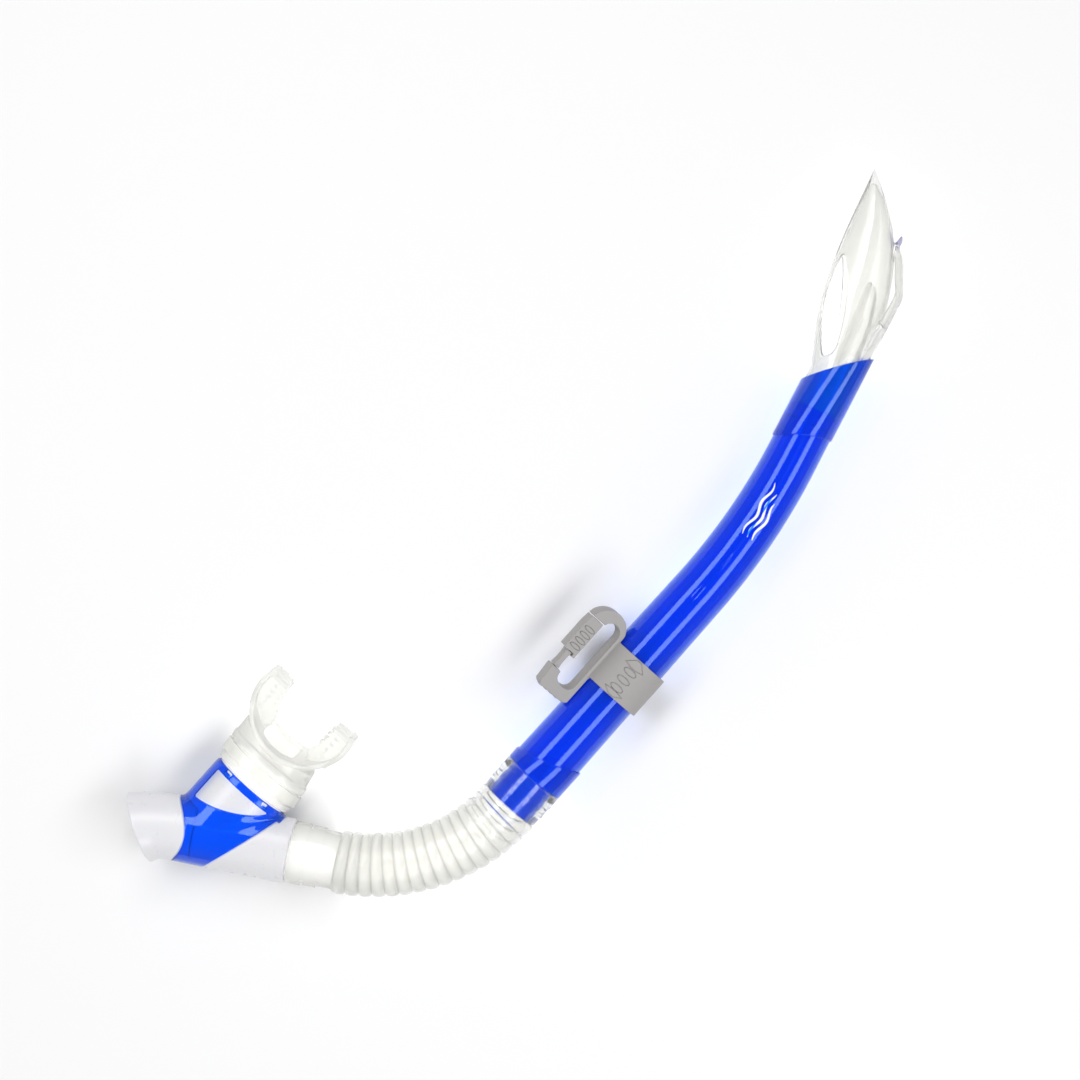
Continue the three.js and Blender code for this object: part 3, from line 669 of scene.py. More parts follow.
def hose_silicone(colours):
    """The hose's silicone: clear at its top cuff, milky along its ribs, with painted shade darkening its
    grooves.
    """
    material, tree, shader, places = new_material("hose_silicone")
    groove = tree.nodes.new("ShaderNodeAttribute")
    groove.attribute_name = "groove"
    # Painted shade: the silicone's colour is darkened to 0.68 of itself where the groove mask is high,
    # between the ribs.
    base = two_tone(tree, groove.outputs["Fac"], colours.silicone, shade(colours.silicone, 0.68))
    tree.links.new(base, shader.inputs["Base Color"])
    cuff = (HOSE_TOP - RIBS_START / 2, 0, 0)
    clearness = fade_from(tree, places, cuff, 0.0185, 0.027, 1, 0.7)
    tree.links.new(clearness, shader.inputs["Transmission Weight"])
    tree.links.new(spread(tree, noise(tree, places, 300), 0.07, 0.13), shader.inputs["Roughness"])
    set_sockets(shader, {"IOR": 1.38})
    bump(tree, shader, noise(tree, places, 250, 1), 0.03, 0.0001)
    return material


def white_plastic(colours):
    """Opaque white, moulded with a soft gloss."""
    material, tree, shader, places = new_material("white_plastic")
    cloud = noise(tree, places, 35, 2)
    base = two_tone(tree, cloud, shade(colours.white, 0.98), shade(colours.white, 1.015))
    tree.links.new(base, shader.inputs["Base Color"])
    tree.links.new(spread(tree, noise(tree, places, 250), 0.24, 0.34), shader.inputs["Roughness"])
    set_sockets(shader, {"Subsurface Weight": 0.1, "Subsurface Scale": 0.002})
    bump(tree, shader, noise(tree, places, 1200, 2), 0.06, 0.00005)
    return material


def clip_plastic(colours):
    """Warm grey with the fine grain of a spark-finished mould."""
    material, tree, shader, places = new_material("clip_plastic")
    worn = noise(tree, places, 180, 4)
    base = two_tone(tree, worn, shade(colours.clip, 0.86), shade(colours.clip, 1.14))
    tree.links.new(base, shader.inputs["Base Color"])
    tree.links.new(spread(tree, noise(tree, places, 700), 0.3, 0.44), shader.inputs["Roughness"])
    bump(tree, shader, noise(tree, places, 2600, 3), 0.35, 0.00012)
    return material


def white_ink(colours):
    """Printing ink: flat white, a little thin in places."""
    material, tree, shader, places = new_material("white_ink")
    thin = noise(tree, places, 1500, 2)
    base = two_tone(tree, thin, (0.82, 0.85, 0.9), (0.97, 0.97, 0.98))
    tree.links.new(base, shader.inputs["Base Color"])
    set_sockets(shader, {"Roughness": 0.4})
    return material


def floor_paint(colours):
    """A plain pale floor with the faintest unevenness."""
    material, tree, shader, places = new_material("floor_paint")
    cloud = noise(tree, places, 3, 2)
    base = two_tone(tree, cloud, shade(colours.floor, 0.995), shade(colours.floor, 1.005))
    tree.links.new(base, shader.inputs["Base Color"])
    set_sockets(shader, {"Roughness": 0.9, "Specular IOR Level": 0.1})
    return material


FINISHES = {
    "blue_plastic": blue_plastic,
    "clear_plastic": clear_plastic,
    "silicone": milky_silicone,
    "hose_silicone": hose_silicone,
    "white_plastic": white_plastic,
    "clip_plastic": clip_plastic,
    "white_ink": white_ink,
    "floor_paint": floor_paint,
}


def material_for(context, name):
    """Finds a material by its finish, or makes it the first time it is asked for."""
    return bpy.data.materials.get(name) or FINISHES[name](context.scene.snorkel_colours)


# ---- Routes of the parts -------------------------------------------------------------
def tube_route(sizes):
    bend = sizes.bend_radius * sizes.bend_angle
    return Route(0, 0, 0, [(TUBE["bend_start"], 0), (bend, sizes.bend_radius), (150, 0)])


def upper_start(sizes):
    return TUBE["bend_start"] + sizes.bend_radius * sizes.bend_angle


def upper_route(sizes):
    """The straight above the bend, from the bend's end."""
    return Route(*tube_route(sizes).at(upper_start(sizes)), [(150, 0)])


def guard_point(u, v):
    return upper_route(Measures(bpy.context.scene.snorkel_sizes)).beside(u, v)


HOSE_TOP = SPIGOT["shoulder"] - GAP
RIBS_START = HOSE_TOP - SPIGOT["end"]
RIBS_END = RIBS_START + HOSE_BEND["radius"] * math.radians(HOSE_BEND["angle"])
HOSE_END = RIBS_END + HOSE_CUFF
HOSE_LEGS = [(RIBS_START, 0), (RIBS_END - RIBS_START, -HOSE_BEND["radius"]), (HOSE_CUFF, 0)]
HOSE_ROUTE = Route(HOSE_TOP, 0, math.pi, HOSE_LEGS)
CHAMBER_ROUTE = Route(*HOSE_ROUTE.at(HOSE_END), [(100, 0)])
CHAMBER_PLACE = CHAMBER_ROUTE.place(0)
BRANCH_ROUTE = Route(BRANCH["mouth"], BRANCH["centre"], 0, [(100, 0)])
MOUTH_ROUTE = Route(BRANCH["mouth"] + GAP, BRANCH["centre"], 0, [(100, 0)])
CLIP_PLACE = Matrix.Rotation(CLIP_TILT, 4, "X")


def round_length(start, end, radius):
    return loft("round", CHAMBER_ROUTE, [{"s": start, "a": radius}, {"s": end, "a": radius}])


def oval_length(start, end, half):
    a, b = half
    return loft("oval", BRANCH_ROUTE, [{"s": start, "a": a, "b": b}, {"s": end, "a": a, "b": b}])


# ---- Tube, collar, guard and coupling ------------------------------------------------
def tube_radius(sizes, s):
    return sizes.tube_radius - sizes.tube_taper * s


def main_tube(sizes):
    route = tube_route(sizes)
    shoulder = upper_start(sizes) + TUBE_NECK["start"]
    neck = TUBE_NECK["radius"]
    top = upper_start(sizes) + TUBE["top"]
    body = np.arange(TUBE["rebate"] + GAP + 1, shoulder - 1, 2.5)
    outer = [
        {"s": TUBE["start"], "a": TUBE["rebate_radius"] - 0.3},
        {"s": TUBE["start"] + 0.3, "a": TUBE["rebate_radius"]},
        {"s": TUBE["rebate"], "a": TUBE["rebate_radius"]},
        {"s": TUBE["rebate"] + GAP, "a": tube_radius(sizes, TUBE["rebate"])},
    ]
    outer += [{"s": s, "a": tube_radius(sizes, s)} for s in body]
    outer += [
        {"s": shoulder, "a": tube_radius(sizes, shoulder)},
        {"s": shoulder + 0.3, "a": neck},
        {"s": top - 0.3, "a": neck},
        {"s": top, "a": neck - 0.3},
    ]
    inside = [TUBE["start"], *body, shoulder, top]
    inner = [{"s": s, "a": tube_radius(sizes, s) - sizes.tube_wall} for s in inside]
    inner[-1]["a"] += 0.2
    return union(wall("main_tube", route, outer, inner), clip_stop(sizes), front_ridge(sizes))


def clip_stop(sizes):
    """The wedge on the tube's front: steep towards the clip, running out towards the top."""
    start, end = STOP["start"], STOP["end"]
    shape = [(start, 0.55, 0.9), (start + 0.5, STOP["height"], 1.2)]
    shape += [(end - 1, 0.22, 0.9), (end, 0, 0.3)]
    rows = []
    for s, lift, half in shape:
        x, y, _ = tube_route(sizes).at(s)
        base = tube_radius(sizes, s)
        side = y + STOP["side"]
        rows.append(
            np.array(
                [
                    (x, side - half, base - 1),
                    (x, side - half, base + lift * 0.7),
                    (x, side - half * 0.6, base + lift),
                    (x, side + half * 0.6, base + lift),
                    (x, side + half, base + lift * 0.7),
                    (x, side + half, base - 1),
                ]
            )
        )
    return skin("stop", rows)


def front_ridge(sizes):
    """A fine raised line from the wedge to the collar."""
    rows = []
    route = tube_route(sizes)
    for s in np.arange(STOP["end"] + 3, upper_start(sizes) + 12, 2):
        base = tube_radius(sizes, s)
        fade = min(1, (s - STOP["end"]) / 20)
        side_lift, top_lift = 0.1 * fade, 0.3 * fade
        section = [(-0.45, -0.5), (-0.4, side_lift), (0, top_lift), (0.4, side_lift), (0.45, -0.5)]
        rows.append(np.array([route.beside(s, side, base + lift) for side, lift in section]))
    return skin("ridge", rows)


def wave_print(sizes):
    """Three printed wave strokes, wrapped onto the tube's front."""
    route = tube_route(sizes)
    strokes = []
    for row in range(3):
        length = 26 - 4 * row
        centre = 92 - 2 * row
        bottom, top = [], []
        for t in np.linspace(0, 1, 61):
            s = centre + (t - 0.5) * length
            middle = -0.6 - 2.5 * (row - 1) + 0.75 * math.sin(2 * math.pi * t * length / 13)
            half = 0.62 * math.sqrt(max(math.sin(math.pi * t), 0.02))
            bottom.append((s, middle - half))
            top.append((s, middle + half))
        rings = []
        for low, high in zip(bottom, top):
            section = []
            for lift in (0.02, 0.02 + sizes.print_thickness):
                edge = [low[1] + (high[1] - low[1]) * k / 4 for k in range(5)]
                for v in edge if lift < 0.03 else edge[::-1]:
                    radius = tube_radius(sizes, low[0]) + lift
                    across, z = radius * math.sin(v / radius), radius * math.cos(v / radius)
                    section.append(route.beside(low[0], across, z))
            rings.append(np.array(section))
        strokes.append(skin("stroke", rings))
    return joined("wave_print", strokes)


def top_collar(sizes):
    low = {"slope": COLLAR["low_slope"], "bulge": COLLAR["bulge"]}
    high = {"slope": COLLAR["high_slope"], "bulge": COLLAR["bulge"]}
    radius = sizes.collar_radius
    seam = [(22.7, 0), (22.8, 0.12), (23.1, 0.12), (23.2, 0)]
    outer = [
        {"s": COLLAR["low"] - 0.15, "a": radius - 0.25, **low},
        {"s": COLLAR["low"], "a": radius - 0.08, **low},
        {"s": COLLAR["low"] + 0.25, "a": radius, **low},
        *({"s": s, "a": radius - dip, "slope": -0.15} for s, dip in seam),
        {"s": COLLAR["high"] - 0.4, "a": radius, **high},
        {"s": COLLAR["high"] - 0.1, "a": radius - 0.1, **high},
        {"s": COLLAR["high"], "a": radius - 0.35, **high},
    ]
    inner = [
        {"s": COLLAR["low"] - 0.15, "a": radius - 0.4, **low},
        {"s": 16.3, "a": radius - 0.4},
        {"s": 16.6, "a": TUBE_NECK["sleeve"]},
        {"s": COLLAR["high"], "a": TUBE_NECK["sleeve"], **high},
    ]
    return wall("top_collar", upper_route(sizes), outer, inner)


# Sections of the guard: along, front edge, back edge, half depth.
GUARD_SECTIONS = [
    (23.3, 10.8, -10.8, 10.8),
    (38.5, 10.8, -10.8, 10.8),
    (46, 13.4, -10.8, 10.5),
    (54, 16.3, -10.7, 10.8),
    (61, 18.6, -10.4, 11.1),
    (75, 22.0, -7.2, 11.0),
    (90, 23.9, -2.8, 9.7),
    (98, 24.6, 0.8, 8.4),
    (107, 25.1, 5.9, 6.5),
    (116, 25.4, 13.4, 4.1),
    (124.5, 25.7, 22.0, 1.7),
    (127.4, 25.9, 25.2, 0.6),
]
GUARD_FIN = [
    (50, -5.5, 4.5, 8.2),
    (62, -6.0, 5.0, 8.9),
    (81, -6.4, 4.8, 8.0),
    (90, -2.6, 5.4, 6.4),
    (99, 1.3, 4.5, 3.9),
    (102.6, 3.3, 2.8, 2.4),
    (104.6, 2.75, 2.3, 1.9),
    (106.3, 2.4, 1.5, 1.2),
    (107.6, 2.2, 0.6, 0.5),
]
DEFLECTOR = [
    (25, 0, 9, 9),
    (33, 0.2, 9, 9),
    (45, 2, 9.8, 8.6),
    (60, 3.2, 8.6, 8),
    (74, 4.6, 6.8, 7),
    (80, 5.2, 5.2, 5.2),
    (83, 5.4, 3.2, 2.4),
]


def leaf(sizes, inset, sections):
    """The guard's leaf, or its inside when inset is the wall."""
    rings = []
    for s, front, back, half in blended(sections, 1.5):
        pinch = 0.34 * min(max((s - 42) / 20, 0), 1)
        station = {"s": s, "a": (front - back) / 2 - inset, "b": half - inset, "pinch": pinch}
        rings.append(ring(upper_route(sizes), shift=(front + back) / 2, **station))
    return skin("leaf", rings)


def scoop(sizes, name, sections, thickness, steps=40):
    """A trough open on one side: along, rim, depth and half width."""
    rings = []
    for s, rim, depth, half in blended(sections, 1.5):
        x, y, heading = upper_route(sizes).at(s)
        section = []
        for inset in (0, thickness):
            angles = np.linspace(0, np.pi, steps + 1)
            across = rim - max(depth - inset, depth * 0.2) * np.sin(angles)
            z = max(half - inset, half * 0.3) * np.cos(angles)
            side = np.column_stack(
                [x - across * math.sin(heading), y + across * math.cos(heading), z]
            )
            section.append(side if inset == 0 else side[::-1])
        rings.append(np.concatenate(section))
    return skin(name, rings)


def splash_guard(sizes):
    inside = [(GUARD_SECTIONS[0][0] - 1, *GUARD_SECTIONS[0][1:]), *GUARD_SECTIONS[1:10]]
    inside.append((122, 25.4, 20.6, 2.2))
    window = curve_to((45.5, 9), (66, 21.8), (89, 20.9), 24)
    window += curve_to((89, 20.9), (75, 11), (53.5, 6.4), 24)
    window += curve_to((53.5, 6.4), (46, 5), (45.5, 9), 10)
    guard = union(leaf(sizes, 0, GUARD_SECTIONS), scoop(sizes, "fin", GUARD_FIN, sizes.guard_wall))
    opening = slab("window", window, 20, upper_route(sizes).place(0))
    minus(guard, leaf(sizes, sizes.guard_wall, inside), opening)
    return softened(guard, 0.45, 4)


def lower_coupling():
    route = Route(0, 0, 0, [(100, 0)])
    radius = COUPLING["radius"]
    bore = radius - COUPLING["wall"]
    slope = SLEEVE_TOP["slope"]
    middle = SLEEVE_TOP["middle"]
    outer = [
        {"s": SPIGOT["end"], "a": SPIGOT["radius"] - 0.5},
        {"s": SPIGOT["end"] + 0.5, "a": SPIGOT["radius"]},
    ]
    for barb in COUPLING["barbs"]:
        outer += [
            {"s": barb - 0.9, "a": SPIGOT["radius"]},
            {"s": barb + 0.4, "a": COUPLING["barb_radius"]},
            {"s": barb + 0.6, "a": SPIGOT["radius"]},
        ]
    outer += [
        {"s": SPIGOT["shoulder"], "a": SPIGOT["radius"]},
        {"s": SPIGOT["shoulder"], "a": radius - 0.25},
        {"s": SPIGOT["shoulder"] + 0.25, "a": radius},
        {"s": middle - 0.3, "a": radius, "slope": slope},
        {"s": middle, "a": radius - 0.2, "slope": slope},
    ]
    seat = TUBE["start"] - GAP
    inner = [
        {"s": SPIGOT["end"], "a": SPIGOT["bore"]},
        {"s": seat, "a": SPIGOT["bore"]},
        {"s": seat, "a": TUBE["rebate_radius"] + GAP},
        {"s": TUBE["rebate"] - GAP, "a": TUBE["rebate_radius"] + GAP},
        {"s": TUBE["rebate"] - GAP + 0.05, "a": bore},
        {"s": middle, "a": bore, "slope": slope},
    ]
    return wall("lower_coupling", route, outer, inner)


# ---- Hose ----------------------------------------------------------------------------
def hose_profile(sizes):
    """The hose's outside before its ribs rise: distance along it and radius."""
    rows = [(0, 13.8), (0.3, 14.1), (4.2, 14.1), (4.5, 14.35), (5.4, 14.35), (5.7, 14.0)]
    rows += [(9.6, 14.0), (9.9, 14.25), (10.8, 14.25), (11.1, 13.9), (RIBS_START - 0.5, 13.9)]
    for t in np.linspace(0, 1, sizes.hose_ribs * 14 + 1):
        rows.append((RIBS_START + t * (RIBS_END - RIBS_START), 14.45 - 0.7 * t - sizes.rib_height))
    bands = [(0.6, 12.3), (7.0, 12.3), (7.1, 13.1), (12.6, 13.1), (12.7, 12.3), (13.8, 12.3)]
    bands += [(13.9, 13.4), (20.1, 13.4), (HOSE_CUFF - GAP - 0.2, 13.3), (HOSE_CUFF - GAP, 13.0)]
    return rows + [(RIBS_END + s, radius) for s, radius in bands]


def corrugated_hose(sizes, material):
    outer = [{"s": s, "a": a} for s, a in hose_profile(sizes)]
    bore_ends = (11.7, 11.0)
    inner = []
    for s in np.linspace(0, HOSE_END - GAP, 90):
        t = min(max((s - RIBS_START) / (RIBS_END - RIBS_START), 0), 1)
        inner.append({"s": s, "a": bore_ends[0] + (bore_ends[1] - bore_ends[0]) * t})
    hose = wall("corrugated_hose", HOSE_ROUTE, outer, inner)
    along = np.zeros(len(hose.data.vertices), np.float32)
    away = np.zeros((len(hose.data.vertices), 3), np.float32)
    for j, station in enumerate(outer):
        t = (station["s"] - RIBS_START) / (RIBS_END - RIBS_START)
        if 0 <= t <= 1:
            along[j * SIDES : (j + 1) * SIDES] = t
            away[j * SIDES : (j + 1) * SIDES] = unit_ring(HOSE_ROUTE, station["s"])
    marks = hose.data.attributes
    marks.new("along", "FLOAT", "POINT").data.foreach_set("value", along)
    marks.new("outward", "FLOAT_VECTOR", "POINT").data.foreach_set("vector", away.ravel())
    values = {"Rib Count": sizes.hose_ribs, "Rib Height": sizes.rib_height * MM}
    return grown(hose, ribs_tree(), {**values, "Material": material})


def unit_ring(route, s):
    """Outward directions round a route."""
    x, y, _ = route.at(s)
    return ring(route, s, 1) - np.array([x, y, 0])


# ---- Chamber -------------------------------------------------------------------------
def saddle_zone(clear):
    """The blue frame's outline over the barrel, grown by clear where it meets the white body."""
    outline = [(2.6 - clear, -17), (37.6 - clear, 16), (51 + clear, 16)]
    outline += curve_to((51 + clear, 16), (37 + clear, 2.5), (51.5 + clear, -15), 24)
    outline += [(47.5, -17.5)]
    outline += curve_to((47.5, -17.5), (38, -13), (24.4, -12.9), 14)
    outline += curve_to((24.4, -12.9), (16, -13), (12.3, -14.8), 10)
    outline += [(8, -21)]
    return slab("saddle", outline, 20, CHAMBER_PLACE)


def frame_zone(clear):
    """The ring round the branch and the strut along its far side."""
    place = BRANCH_ROUTE.place(0)
    left = -165.8 - BRANCH["mouth"]
    band = block("band", (-3.7 - clear, -20, -20), (0, 30, 20), place)
    strut = block("strut", (left, 15 - clear, -20), (0, 30, 20), place)
    return union(saddle_zone(clear), band, strut)


def chamber_body():
    root, reach = BRANCH["root"], BRANCH_SPIGOT["reach"]
    core = round_length(1, BARREL["end"] + 1, BARREL["core"])
    union(core, oval_length(root, reach, BRANCH_SPIGOT["half"]))
    union(core, oval_length(root, 0, BRANCH["half"]))
    recess = minus(frame_zone(GAP * 0.7), core)
    body = minus(round_length(0, BARREL["end"], BARREL["radius"]), recess)
    union(body, round_length(GAP - HOSE_CUFF, 1, BARREL["stub"]))
    union(body, oval_length(root, 0, BRANCH["half"]), oval_length(-1, reach, BRANCH_SPIGOT["half"]))
    minus(body, round_length(5, BARREL["end"] + 1, BARREL["bore"]))
    minus(body, round_length(-HOSE_CUFF - 1, 6, BARREL["stub_bore"]))
    minus(body, oval_length(root + 2, reach + 1, BRANCH["bore"]))
    minus(body, round_length(BARREL["end"], 80, BARREL["radius"] + GAP))
    return softened(body, 0.5, 2)


def blue_frame(sizes):
    thick = GAP + sizes.frame_thickness
    a, b = BRANCH["half"]
    outside = union(
        round_length(0.4, 55, BARREL["core"] + thick),
        oval_length(BRANCH["root"], 0, (a + thick, b + thick)),
    )
    softened(outside, 0.5, 70)
    inside = union(
        round_length(-1, 56, BARREL["core"] + GAP),
        oval_length(BRANCH["root"], 1, (a + GAP, b + GAP)),
    )
    minus(outside, inside)
    combined(outside, frame_zone(0), "INTERSECT")
    for side in LUG_SIDES:
        minus(outside, lug_block(side, 0.15, thick - 0.35))
    return softened(outside, 0.33, 2)


def lug_block(side, clear, reach):
    """A square lug on the branch's front, ending reach beyond the white oval."""
    a, b = (half + reach for half in BRANCH["half"])
    low = (-2.8 - clear, side - 1.4 - clear, 0)
    high = (-0.9 + clear, side + 1.4 + clear, 20)
    lug = block("lug", low, high, BRANCH_ROUTE.place(0))
    oval = loft("oval", BRANCH_ROUTE, [{"s": -5, "a": a, "b": b}, {"s": 1, "a": a, "b": b}])
    return combined(lug, oval, "INTERSECT")


def snap_lugs(sizes):
    """Small white lugs that show through the blue frame's ring."""
    reach = GAP + sizes.frame_thickness - 0.45
    under = BRANCH["half"][1] * 0.72
    lugs = []
    for side in LUG_SIDES:
        lug = lug_block(side, 0, reach)
        minus(lug, block("under", (-10, side - 5, 0), (5, side + 5, under), BRANCH_ROUTE.place(0)))
        lugs.append(lug)
    return joined("snap_lugs", lugs)


def exhaust_bell():
    a, b = BELL["half"]
    rows = [(41.3, 14.1, 14.1, 0, 0), (50, 14.1, 14.1, 0, 0), (57.5, 14.0, 14.2, 0.8, -0.24)]
    rows.append((BELL["mouth"], a, b, BELL["shift"], BELL["slope"]))
    labels = ("s", "a", "b", "shift", "slope")
    outer = [dict(zip(labels, row)) for row in blended(rows, 1)]
    inner = [{**st, "a": st["a"] - 1.75, "b": st["b"] - 1.75} for st in outer]
    for st in inner:
        if st["s"] < 50:
            st["a"] = st["b"] = BARREL["bore"]
    lip = {**outer[-1], "s": BELL["mouth"] + 0.25, "a": a - 0.5, "b": b - 0.5}
    far = {**outer[-1], "s": BELL["mouth"] + 0.25, "a": a - 1.2, "b": b - 1.2}
    bell = wall("exhaust_bell", CHAMBER_ROUTE, outer + [lip, far], inner)
    core = round_length(40, 60, BARREL["core"])
    minus(bell, minus(frame_zone(GAP * 0.7), core))
    return softened(bell, 0.42, 3)


def valve_seat():
    start, end = SEAT["start"], SEAT["start"] + SEAT["thickness"]
    rim = BARREL["bore"] - GAP
    outer = [{"s": start, "a": rim}, {"s": end, "a": rim}]
    inner = [{"s": start, "a": rim - 2}, {"s": end, "a": rim - 2}]
    seat = union(wall("valve_seat", CHAMBER_ROUTE, outer, inner), round_length(start, end, 3.2))
    for i in range(3):
        turn = CHAMBER_PLACE @ Matrix.Rotation(2 * math.pi * i / 3, 4, "X")
        union(seat, block("spoke", (start, 0, -1.1), (end, rim - 1, 1.1), turn))
    minus(seat, round_length(start - 1, end + 1, 1.5))
    return softened(seat, 0.25, 2)


def purge_diaphragm():
    """A disc with a stem that is pulled through the seat's hub."""
    nose = SEAT["start"] - GAP
    back = SEAT["start"] + SEAT["thickness"] + GAP
    bulb = [(-3.4, 0.3), (-3.2, 1.0), (-2.7, 1.8), (-2.1, 2.1), (-1.9, 1.9), (-1.7, 1.2)]
    disc = [(-0.1, 1.2), (0, 1.5), (0, 10.0), (0.3, 10.2), (0.6, 10.1), (0.7, 8), (1.0, 4)]
    disc += [(1.2, 1.2), (1.2, 0.3)]
    profile = [(nose + s, a) for s, a in bulb] + [(back + s, a) for s, a in disc]
    return loft("purge_diaphragm", CHAMBER_ROUTE, [{"s": s, "a": a} for s, a in profile])


# ---- Mouthpiece ----------------------------------------------------------------------
def mouth_place():
    """The lip flange's own frame: leaned back towards the wearer and drifted sideways."""
    place = MOUTH_ROUTE.place(FLANGE["back"]) @ Matrix.Translation((0, MOUTH["shift"], 0))
    place = place @ Matrix.Rotation(-MOUTH["tilt"], 4, "Y")
    return place @ Matrix.Translation((-FLANGE["back"], 0, 0))


def flange_outline(inset):
    half = FLANGE["half_width"] - inset
    centre = 38
    outline = [(FLANGE["front"], half - 1.2), (centre + 4, half - 0.3)]
    outline += arc(centre, 0, centre - FLANGE["back"] - inset, half, 90, 270, 48)
    return outline + [(centre + 4, -half + 0.3), (FLANGE["front"], -half + 1.2)]


def lip_flange():
    place = mouth_place()
    bar = Route(FLANGE["back"] - 5, 0, 0, [(100, 0)])
    oval = loft(
        "oval",
        bar,
        [
            {"s": 0, "a": 25.4, "b": FLANGE["half_height"]},
            {"s": 10, "a": 25.8, "b": 13.6},
            {"s": 20, "a": 26, "b": 10.6},
            {"s": 33, "a": 26, "b": 8.4},
        ],
        place=place,
    )
    lip = slab("lip", flange_outline(0), 20, place)
    minus(lip, slab("inside", flange_outline(FLANGE["wall"]), 21, place))
    return combined(lip, oval, "INTERSECT")


def bite_tab(side, sizes, material):
    """One tab: a plate with nubs on both faces, a lug at its end and teeth on its inner edge."""
    place = mouth_place() @ Matrix.Diagonal((1, side, 1, 1))
    inner = [(20.5, 10.5), (26, 8.6), (29, 8.4), (31.5, 10.2), (35.5, 12), (41, 12.6), (45, 12.4)]
    if side < 0:
        inner = [(20.5, 13.7), (26, 12.3), (27.5, 10.8), (33, 12.8), (38, 13.9), (44, 14.4)]
    outline = [*inner, (46, 14), (46.3, 20), (45, 22), (27, 22), (22, 17)]
    half = 2.1
    tab = slab("plate", outline, half, place)
    union(tab, block("lug", (42.8, 13.4, -2 * half), (45.4, 21.5, 2 * half), place))
    r = sizes.nub_radius
    for face in (half, -half):
        union(tab, bump_row("nubs", 5, (28.5, 17.2, face), (3.1, 0, 0), (r, r, r), material, place))
    teeth = bump_row("teeth", 4, (34.5, 12.6, 0), (2.7, 0.2, 0), (1.0, 0.8, 2.6), material, place)
    return union(tab, teeth)


def mouthpiece(sizes, material):
    a, b = MOUTH["neck"]
    start, end = CLAMP["start"], CLAMP["start"] + CLAMP["width"]
    lean = -math.tan(MOUTH["tilt"])
    neck = loft(
        "neck",
        MOUTH_ROUTE,
        [
            {"s": 0, "a": a + 0.2, "b": b + 0.4},
            {"s": 0.4, "a": a + 0.6, "b": b + 0.7},
            {"s": start - 0.8, "a": a + 1, "b": b + 1, "shift": 0.2},
            {"s": start - 0.5, "a": a, "b": b, "shift": 0.3},
            {"s": end + 0.5, "a": a, "b": b, "shift": 0.9},
            {"s": end + 0.8, "a": a + 1.7, "b": b + 1.5, "shift": 1},
            {"s": 13.4, "a": a + 1.8, "b": b + 1.5, "shift": 1.3},
            {"s": 13.9, "a": a + 1.1, "b": b + 0.7, "shift": 1.4},
            {"s": 17, "a": a + 0.9, "b": b, "shift": 1.9, "lean": lean * 0.5},
            {"s": 21, "a": a + 0.6, "b": b - 0.8, "shift": MOUTH["shift"] - 0.6, "lean": lean},
        ],
    )
    bore_a, bore_b = (half + GAP for half in BRANCH_SPIGOT["half"])
    bore = loft(
        "bore",
        MOUTH_ROUTE,
        [
            {"s": -1, "a": bore_a, "b": bore_b},
            {"s": 12, "a": bore_a, "b": bore_b},
            {"s": 15, "a": 15.4, "b": 9.2, "shift": 1.6},
            {"s": 22.3, "a": 14.8, "b": 8.4, "shift": MOUTH["shift"], "lean": lean},
        ],
    )
    union(neck, lip_flange(), bite_tab(1, sizes, material), bite_tab(-1, sizes, material))
    return softened(minus(neck, bore), 0.4, 3)


def mouthpiece_clamp():
    a, b = (half + GAP for half in MOUTH["neck"])
    start, end = CLAMP["start"], CLAMP["start"] + CLAMP["width"]
    rows = [(start, 1.2), (start + 0.15, 1.55), (start + 0.5, 1.7)]
    rows += [(end - 0.5, 1.7), (end - 0.15, 1.55), (end, 1.2)]

    def station(s, by):
        shift = 0.35 + 0.5 * (s - start) / CLAMP["width"]
        return {"s": s, "a": a + by, "b": b + by, "shift": shift}

    outer = [station(s, by) for s, by in rows]
    return wall("mouthpiece_clamp", MOUTH_ROUTE, outer, [station(start, 0), station(end, 0)])


# ---- Clip ----------------------------------------------------------------------------
def loop_outline():
    bottom = -26.4
    cut = GATE["right"] + 0.4
    outline = [(bottom, 16.5), (bottom, 27.2), (bottom + 1, 28.3), (-18.5, 28.9)]
    outline += [(WEB["left"] - GAP, 28.9), (WEB["left"] - GAP, 24.2), (cut, 24.2)]
    cx, cy, r = 9.6, 21.3, 8.7
    outline += arc(cx, cy, r, r, math.degrees(math.acos((cut - cx) / r)), -70, 32)
    outline += [(bottom + 4, 12.2)]
    return outline + curve_to((bottom + 4, 12.2), (bottom, 12.4), (bottom, 16.5), 12)[:-1]


def slot_outline():
    r = 4.2
    low, high, left, right = (SLOT[key] for key in ("low", "high", "left", "right"))
    cut = GATE["right"] + 0.4
    outline = [(left + r, low)]
    stop = math.degrees(math.acos((cut - right + r) / r))
    outline += arc(right - r, low + r, r, r, -90, stop, 24)
    outline += [(cut, high + 1), (WEB["left"] - GAP, high + 1)]
    outline += [(left + r, high + 0.6)]
    outline += curve_to((left + r, high + 0.6), (left, high + 0.6), (left, high - r), 10)
    outline += [(left, low + r)]
    return outline + curve_to((left, low + r), (left, low), (left + r, low), 10)[:-1]


def band_marks(material, grow):
    """Upright columns of the band's marks: three pills between two arrowheads."""
    top = BAND["radius"]
    half_size = (1.1 + grow, 2.9 + grow, 4)
    marks = [bump_row("pills", 3, (-5.8, 0, top), (4.3, 0, 0), half_size, material)]
    for side, point, base, notch in ((1, 8.6, 5.6, 4.9), (-1, -9.6, -7.9, -7.5)):
        point, base, notch = point + side * grow, base - side * grow * 0.4, notch - side * grow
        wing = 4.4 + grow * 1.3
        outline = [(base, -wing), (point, -1.2), (point, 1.2)]
        outline += [(base, wing), (notch, 1.4), (notch, -1.4)]
        marks.append(slab("arrow", outline, 3, Matrix.Translation((0, 0, top + 0.5))))
    return joined("band_marks", marks)


